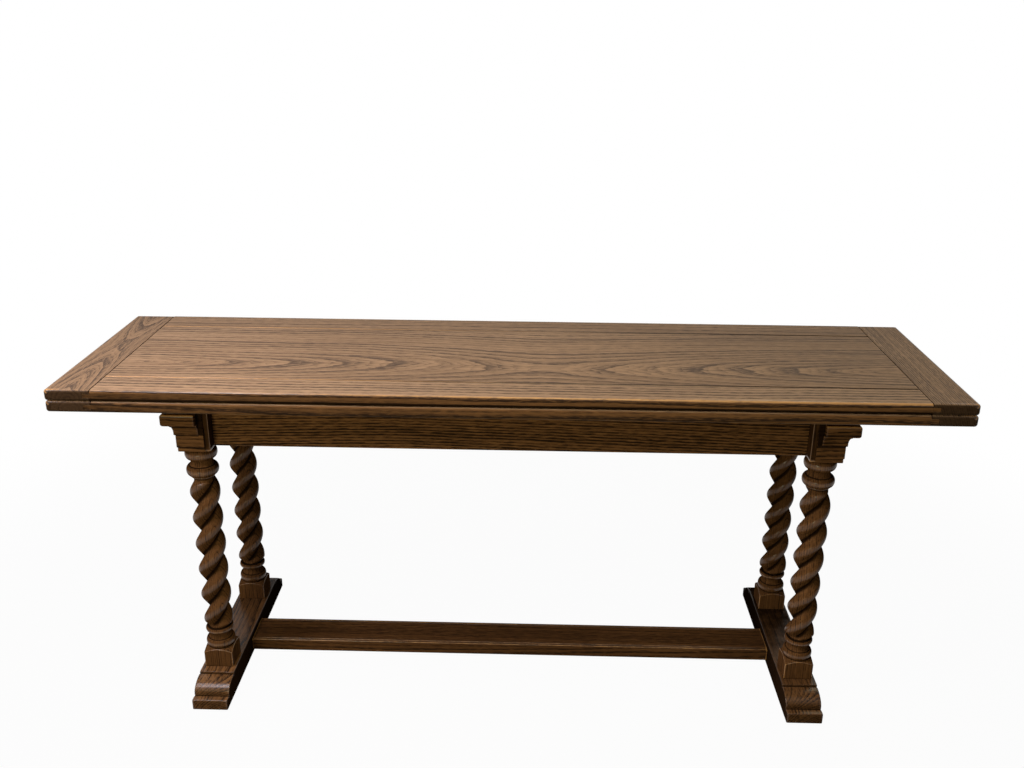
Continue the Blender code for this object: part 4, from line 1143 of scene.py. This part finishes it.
def cornice_return(end, side, material):
    """Short length of cornice on the front or rear of a leg block, mitred at the outer corner."""
    size = settings().moulding
    node = f"{end}_{side}_cornice_return"
    block_low, block_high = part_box(f"{end}_{side}_leg")
    outline = cornice_outline(block_high.z)
    inner, outer = sorted((abs(block_low.x), abs(block_high.x)))
    face = max(abs(block_low.y), abs(block_high.y))
    start = inner + size.bare_width
    stop = start + size.step
    travel, points, wear, grime = carry(outline, stop, outer - FIT / 2 + outline.points[:, 0], END_WEAR)
    backing = size.fascia + FIT
    thin = outline.points.copy()
    thin[:, 0] = np.minimum(thin[:, 0], backing)
    proud = outline.points[:, :1] > backing
    own_end = np.arange(len(travel)) < len(travel) // 2
    points = np.where(own_end[:, None, None] & ~proud, outline.points, points)
    travel = np.concatenate([np.broadcast_to([[start], [stop]], (2, len(thin))), travel])
    points = np.concatenate([np.stack([thin, thin]), points])
    wear = np.concatenate([np.zeros((2, len(thin))), wear * (proud[:, 0] | ~own_end[:, None])])
    # Painted shadow on the bare block beside the stopped ends of slab and cove
    grime = np.concatenate([np.broadcast_to(proud[:, 0] * RETURN_SHADOW, (2, len(thin))), grime])
    rows = np.stack([SIDES[side] * travel, ENDS[end] * (face + points[..., 0]), points[..., 1]], -1)
    return add_piece(f"moulded_{node}", rows, wear, grime, material, node)


def cornice_side(side, material):
    """Outer length of cornice on a trestle head, mitred at both ends."""
    node = f"{side}_cornice"
    block_low, block_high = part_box(f"front_{side}_leg")
    outline = cornice_outline(block_high.z)
    outer = max(abs(block_low.x), abs(block_high.x))
    reach = max(abs(block_low.y), abs(block_high.y)) - FIT / 2 + outline.points[:, 0]
    travel, points, wear, grime = carry(outline, -reach, reach)
    rows = np.stack([SIDES[side] * (outer + points[..., 0]), travel, points[..., 1]], -1)
    return add_piece(f"moulded_{node}", rows, wear, grime, material, node)


def foot(side, material):
    """Sledge foot: its side view in Y and Z, carried along X.

    From tip to top: a flat toe, a quirk, an ovolo that is a quarter of an ellipse, a quirk and a flat top.
    """
    size = settings().moulding
    node = f"{side}_foot"
    low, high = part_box(node)
    tip, top = high.y, high.z
    toe_back = tip - size.toe_length
    ovolo = toe_back - size.quirk_width
    crown = ovolo - size.ovolo_length
    floor = size.toe_height - size.quirk_depth
    ovolo_low = top - size.quirk_depth - size.ovolo_height
    sweep = np.linspace(0.0, math.pi / 2, OVOLO_POINTS)
    curve = np.stack([crown + size.ovolo_length * np.cos(sweep),
                      ovolo_low + size.ovolo_height * np.sin(sweep)], 1)
    shelf, lip = top - 2 * size.quirk_depth, crown - size.quirk_width
    # Radii of the corners and easing of the long sides, and how much they are worn
    fine, step, smooth, arris = 0.0010, 0.0003, 0.012, 0.0024
    rubbed_and_lit, base, faint = 0.45, 0.2, 0.1
    profile = [(tip, low.z, fine, base), (tip, size.toe_height, size.toe_round, rubbed_and_lit),
               (toe_back, size.toe_height, fine, rubbed_and_lit), (toe_back, floor, step), (ovolo, floor, step),
               *[(y, z, smooth, faint) for y, z in curve[:-1]], (crown, curve[-1][1], fine, rubbed_and_lit),
               (crown, shelf, step), (lip, shelf, step), (lip, top, fine, rubbed_and_lit)]
    half = [corner(*point, arris=arris) for point in profile]
    outline = eased_outline(half + [(-y, *rest) for y, *rest in reversed(half)])
    travel, points, wear, grime = carry(outline, low.x, high.x, rubbed_and_lit)
    # Painted shade that deepens towards the rear of each foot and on the right foot
    front, rear = FOOT_SHADE[side]
    grime = np.maximum(grime, np.interp(points[..., 0], (low.y, high.y), (front, rear)))
    return add_piece(f"moulded_{node}", along_x(travel, points), wear, grime, material, node)


def stretcher(material):
    """Low stretcher: its section in Y and Z, with a scratched bead along each upper edge, carried along X."""
    size = settings().moulding
    low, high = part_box("stretcher")
    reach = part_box("right_foot")[0].x - FIT
    edge, top, bottom = high.y, high.z, low.z
    bead_back = edge - size.stretcher_bead
    # Radii of the corners
    fine, step, bead = 0.0009, 0.0003, 0.0020
    right = [corner(edge, bottom, fine), corner(edge, top, bead), corner(bead_back, top, fine),
             corner(bead_back - size.stretcher_quirk / 2, top - size.stretcher_quirk, step),
             corner(bead_back - size.stretcher_quirk, top, fine)]
    outline = eased_outline(right + [(-y, *rest) for y, *rest in reversed(right)])
    travel, points, wear, grime = carry(outline, -reach, reach)
    return add_piece("board_stretcher", along_x(travel, points), wear, grime, material, "stretcher")


# Operators, in which seeds only set the noise of one piece apart from that of another


class TABLE_OT_stage(bpy.types.Operator):
    """Make the floor, the light and the camera"""
    bl_idname = "fold_table.stage"
    bl_label = "Stage"

    def execute(self, context):
        stage = settings().stage
        context.scene.view_settings.view_transform = "Standard"
        self.floor(stage)
        self.world(context, stage)
        self.lamps(context, stage)
        self.camera(context, stage)
        return {"FINISHED"}

    def seen(self, wire):
        """1 for rays that show the background itself: from the camera, in gloss and through glass."""
        rays = ("Is Camera Ray", "Is Glossy Ray", "Is Transmission Ray")
        camera, gloss, glass = [wire.node("ShaderNodeLightPath", {}, {}, ray) for ray in rays]
        return camera.larger(gloss).larger(glass)

    def floor(self, stage):
        """Flat floor that shows as white and still takes the table's shadow."""
        material, shader, wire = new_material("studio_floor")
        shader.inputs["Base Color"].default_value = (*stage.floor, 1.0)
        shader.inputs["Roughness"].default_value = stage.floor_roughness
        shader.inputs["Specular IOR Level"].default_value = 0.0
        glow = wire.node("ShaderNodeEmission", {}, {"Color": WHITE, "Strength": 1.0})
        x, y = wire.coordinates("Object")[:2]
        away = (x * x + y * y).step(stage.floor_near ** 2, stage.floor_far ** 2)
        white = stage.floor_white + (1.0 - stage.floor_white) * away
        cover = wire.node("ShaderNodeMixShader", {}, {0: self.seen(wire) * white,
                                                      1: Wire(wire.tree, shader.outputs[0]), 2: glow})
        cover.feed(wire.tree.nodes["Material Output"], "Surface")
        line = np.linspace(-stage.floor_size / 2, stage.floor_size / 2, FLOOR_LINES)
        x, y = np.meshgrid(line, line)
        points = np.stack([x, y, np.full_like(x, -FIT)], -1).reshape(-1, 3)
        index = np.arange(len(points)).reshape(x.shape)
        quads = np.stack([index[:-1, :-1], index[:-1, 1:], index[1:, 1:], index[1:, :-1]], -1)
        mesh = bpy.data.meshes.new("studio_floor")
        mesh.from_pydata(points.tolist(), [], quads.reshape(-1, 4).tolist())
        mesh.materials.append(material)
        ground = bpy.data.objects.new("studio_floor", mesh)
        bpy.context.scene.collection.objects.link(ground)

    def world(self, context, stage):
        """Even light from all round, which shows as white."""
        world = bpy.data.worlds.new("studio")
        world.use_nodes = True
        context.scene.world = world
        tree = world.node_tree
        wire = Wire(tree)
        soft = tree.nodes["Background"]
        soft.inputs["Color"].default_value = (*stage.fill_colour, 1.0)
        soft.inputs["Strength"].default_value = stage.fill
        white = wire.node("ShaderNodeBackground", {}, {"Color": WHITE, "Strength": 1.0})
        both = wire.node("ShaderNodeMixShader", {}, {0: self.seen(wire), 1: Wire(tree, soft.outputs[0]),
                                                     2: white})
        both.feed(tree.nodes["World Output"], "Surface")

    def lamps(self, context, stage):
        """Five soft boxes: left, above the left half, low in front, high in front and behind."""
        aim, warm = Vector(stage.aim), stage.warm_colour
        lamps = (("key_lamp", stage.key_place, stage.key_size, stage.key_power, stage.key_colour),
                 ("top_lamp", stage.top_place, stage.top_size, stage.top_power, stage.top_colour),
                 ("side_lamp", stage.side_place, stage.warm_size, stage.side_power, warm),
                 ("front_lamp", stage.front_place, stage.warm_size, stage.front_power, warm),
                 ("back_lamp", stage.back_place, stage.warm_size, stage.back_power, warm))
        for name, place, size, watts, tint in lamps:
            data = bpy.data.lights.new(name, "AREA")
            data.size = size
            data.energy = watts
            data.color = tint
            lamp = bpy.data.objects.new(name, data)
            lamp.location = place
            lamp.rotation_euler = (aim - Vector(place)).to_track_quat("-Z", "Y").to_euler()
            lamp.visible_camera = False
            context.scene.collection.objects.link(lamp)

    def camera(self, context, stage):
        """Camera at the photograph's place: it looks down by pitch, left by yaw and leans by roll."""
        data = bpy.data.cameras.new("photo_camera")
        data.sensor_width = SENSOR_WIDTH
        data.lens = stage.focal
        data.clip_end = 2 * stage.floor_size
        camera = bpy.data.objects.new("photo_camera", data)
        context.scene.collection.objects.link(camera)
        turn = (Matrix.Rotation(stage.yaw, 4, "Z") @ Matrix.Rotation(math.pi / 2 - stage.pitch, 4, "X")
                @ Matrix.Rotation(stage.roll, 4, "Z"))
        camera.matrix_world = Matrix.Translation(stage.camera) @ turn
        context.scene.camera = camera


class TABLE_OT_leaves(bpy.types.Operator):
    """Make the boards of both leaves"""
    bl_idname = "fold_table.leaves"
    bl_label = "Leaves"

    def execute(self, context):
        figures = {
            "panel": Figure(heart=-0.075, depth=0.115, slope=0.135, middle=0.07, ring=0.0135),
            "front_strip": Figure(heart=-0.55, depth=0.35, slope=0.012, middle=0.3, ring=0.0100, pale=0.42),
            "rear_strip": Figure(heart=0.55, depth=0.30, slope=0.012, middle=-0.2, ring=0.0095)}
        clamps = {
            "left": Figure(heart=-0.874, depth=0.06, slope=0.12, middle=0.05, ring=0.0085, pale=-0.3),
            "right": Figure(heart=0.60, depth=0.12, slope=0.02, middle=-0.10, ring=0.0042)}
        # The long side faces of the leaves take painted shade
        look = {"polish": settings().oak.polish, "rim": 0.86}
        for number, leaf in enumerate(LEAVES):
            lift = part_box(f"{leaf}_leaf_panel")[1].z
            for name, figure in figures.items():
                figure = figure._replace(depth=figure.depth - lift)
                seed = 11.3 * number + 3.1 * len(name)
                material = oak(f"oak_{leaf}_{name}", "top", ALONG_X, figure, seed, **look)
                leaf_board(leaf, name, material)
            for side, figure in clamps.items():
                figure = figure._replace(depth=figure.depth - lift)
                seed = 7.7 * number + 2.3 * SIDES[side]
                material = oak(f"oak_{leaf}_{side}_clamp", "top", ALONG_Y, figure, seed, end_grain=0.90,
                               **look)
                leaf_clamp(leaf, side, material)
        return {"FINISHED"}


class TABLE_OT_legs(bpy.types.Operator):
    """Make the four barley-twist legs"""
    bl_idname = "fold_table.legs"
    bl_label = "Legs"

    def execute(self, context):
        for number, (place, phase) in enumerate(TWIST_TURNS.items()):
            end, side = place.split("_")
            low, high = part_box(f"{place}_leg")
            middle = (low + high) / 2
            figure = Figure(heart=middle.x + 0.022, depth=0.030 - middle.y, slope=0.012, middle=0.2,
                            ring=0.0046, pale=-0.3)
            material = oak(f"oak_{place}_leg", "frame", UPRIGHT, figure, 4.9 * number + 1.7, marks=0.6)
            leg(end, side, math.radians(phase), material)
        return {"FINISHED"}


class TABLE_OT_rails(bpy.types.Operator):
    """Make the aprons, the end rails and the stretcher"""
    bl_idname = "fold_table.rails"
    bl_label = "Rails"

    def execute(self, context):
        for end, way in ENDS.items():
            figure = Figure(heart=0.30, depth=0.10 + way * 0.14, slope=0.05, middle=0.25 * way, ring=0.0055,
                            pale=0.45)
            seed = 21.0 + 5.3 * way
            material = oak(f"oak_{end}_apron", "frame", ALONG_X_ON_EDGE, figure, seed, marks=1.5)
            apron(end, material)
        for side, way in SIDES.items():
            figure = Figure(heart=0.40, depth=0.05 - way * 0.66, slope=0.02, middle=0.0, ring=0.0042)
            seed = 31.0 + 5.3 * way
            material = oak(f"oak_{side}_end_rail", "frame", ALONG_Y_ON_EDGE, figure, seed)
            end_rail(side, material)
        figure = Figure(heart=0.12, depth=0.06, slope=0.03, middle=-0.3, ring=0.0045, pale=-0.35)
        material = oak("oak_stretcher", "frame", ALONG_X, figure, seed=41.7)
        stretcher(material)
        return {"FINISHED"}


class TABLE_OT_mouldings(bpy.types.Operator):
    """Make the cornices round the trestle heads and the sledge feet"""
    bl_idname = "fold_table.mouldings"
    bl_label = "Mouldings"

    def execute(self, context):
        for side, way in SIDES.items():
            figure = Figure(heart=0.55, depth=0.05 - way * 0.70, slope=0.02, middle=0.0, ring=0.0075)
            seed = 51.0 + 3.3 * way
            material = oak(f"oak_{side}_cornice", "frame", ALONG_Y_ON_EDGE, figure, seed)
            cornice_side(side, material)
            for end, back in ENDS.items():
                figure = Figure(heart=0.56, depth=0.06 - back * 0.18, slope=0.02, middle=0.0, ring=0.0075)
                seed = 61.0 + 3 * way + back
                material = oak(f"oak_{end}_{side}_return", "frame", ALONG_X_ON_EDGE, figure, seed)
                cornice_return(end, side, material)
            figure = Figure(heart=way * 0.66 + 0.05, depth=0.05, slope=0.02, middle=0.0, ring=0.0050)
            seed = 71.0 + 3.3 * way
            # The sides of the feet take deep painted shade
            material = oak(f"oak_{side}_foot", "frame", ALONG_Y, figure, seed, polish=0.45, rim=0.97,
                           end_grain=0.40)
            foot(side, material)
        return {"FINISHED"}


class TABLE_OT_fittings(bpy.types.Operator):
    """Finish the runners, stop pegs, hinges and screws"""
    bl_idname = "fold_table.fittings"
    bl_label = "Fittings"

    def execute(self, context):
        figure = Figure(heart=0.3, depth=-0.65, slope=0.02, middle=0.0, ring=0.0045)
        runner = oak("plain_runner_oak", "plain", ALONG_Y, figure, seed=81.0)
        figure = Figure(heart=0.02, depth=0.1, slope=0.0, middle=0.0, ring=0.0025)
        peg = oak("plain_peg_oak", "plain", UPRIGHT, figure, seed=91.0)
        metal = brass()
        for name, node in frame["nodes"].items():
            if name.endswith("_runner"):
                self.finish(node, runner)
            elif name.endswith("_stop_peg"):
                self.finish(node, peg)
            elif name.endswith(("_screw", "_plate", "_pin")):
                self.finish(node, metal)
        return {"FINISHED"}

    def finish(self, node, material):
        """Give a shown CAD node its material."""
        node.data.materials.clear()
        node.data.materials.append(material)


class TABLE_PT_panel(bpy.types.Panel):
    """The table's operators and settings"""
    bl_idname = "TABLE_PT_panel"
    bl_label = "Fold-over table"
    bl_space_type = "VIEW_3D"
    bl_region_type = "UI"
    bl_category = "Table"

    def draw(self, context):
        for operator in OPERATORS:
            self.layout.operator(operator.bl_idname)
        for group in ("joinery", "turning", "moulding", "oak", "stage"):
            part = getattr(settings(), group)
            box = self.layout.box()
            box.label(text=group.capitalize())
            for name in part.__annotations__:
                box.prop(part, name)


GROUPS = (TABLE_PG_joinery, TABLE_PG_turning, TABLE_PG_moulding, TABLE_PG_oak, TABLE_PG_stage,
          TABLE_PG_settings)
OPERATORS = (TABLE_OT_stage, TABLE_OT_leaves, TABLE_OT_legs, TABLE_OT_rails, TABLE_OT_mouldings,
             TABLE_OT_fittings)


def register():
    """Add the classes and the scene's settings."""
    for kind in (*GROUPS, *OPERATORS, TABLE_PT_panel):
        bpy.utils.register_class(kind)
    bpy.types.Scene.fold_table = PointerProperty(type=TABLE_PG_settings)


def unregister():
    """Take the classes and the settings away."""
    del bpy.types.Scene.fold_table
    for kind in reversed((*GROUPS, *OPERATORS, TABLE_PT_panel)):
        bpy.utils.unregister_class(kind)


def main():
    """Register, make every piece in order and write both boxes."""
    register()
    frame["joints_by_name"] = {joint["name"]: joint for joint in frame["joints"]}
    bpy.ops.fold_table.stage()
    bpy.ops.fold_table.leaves()
    bpy.ops.fold_table.legs()
    bpy.ops.fold_table.rails()
    bpy.ops.fold_table.mouldings()
    bpy.ops.fold_table.fittings()
    bpy.context.view_layer.update()


if __name__ == "__main__":
    main()
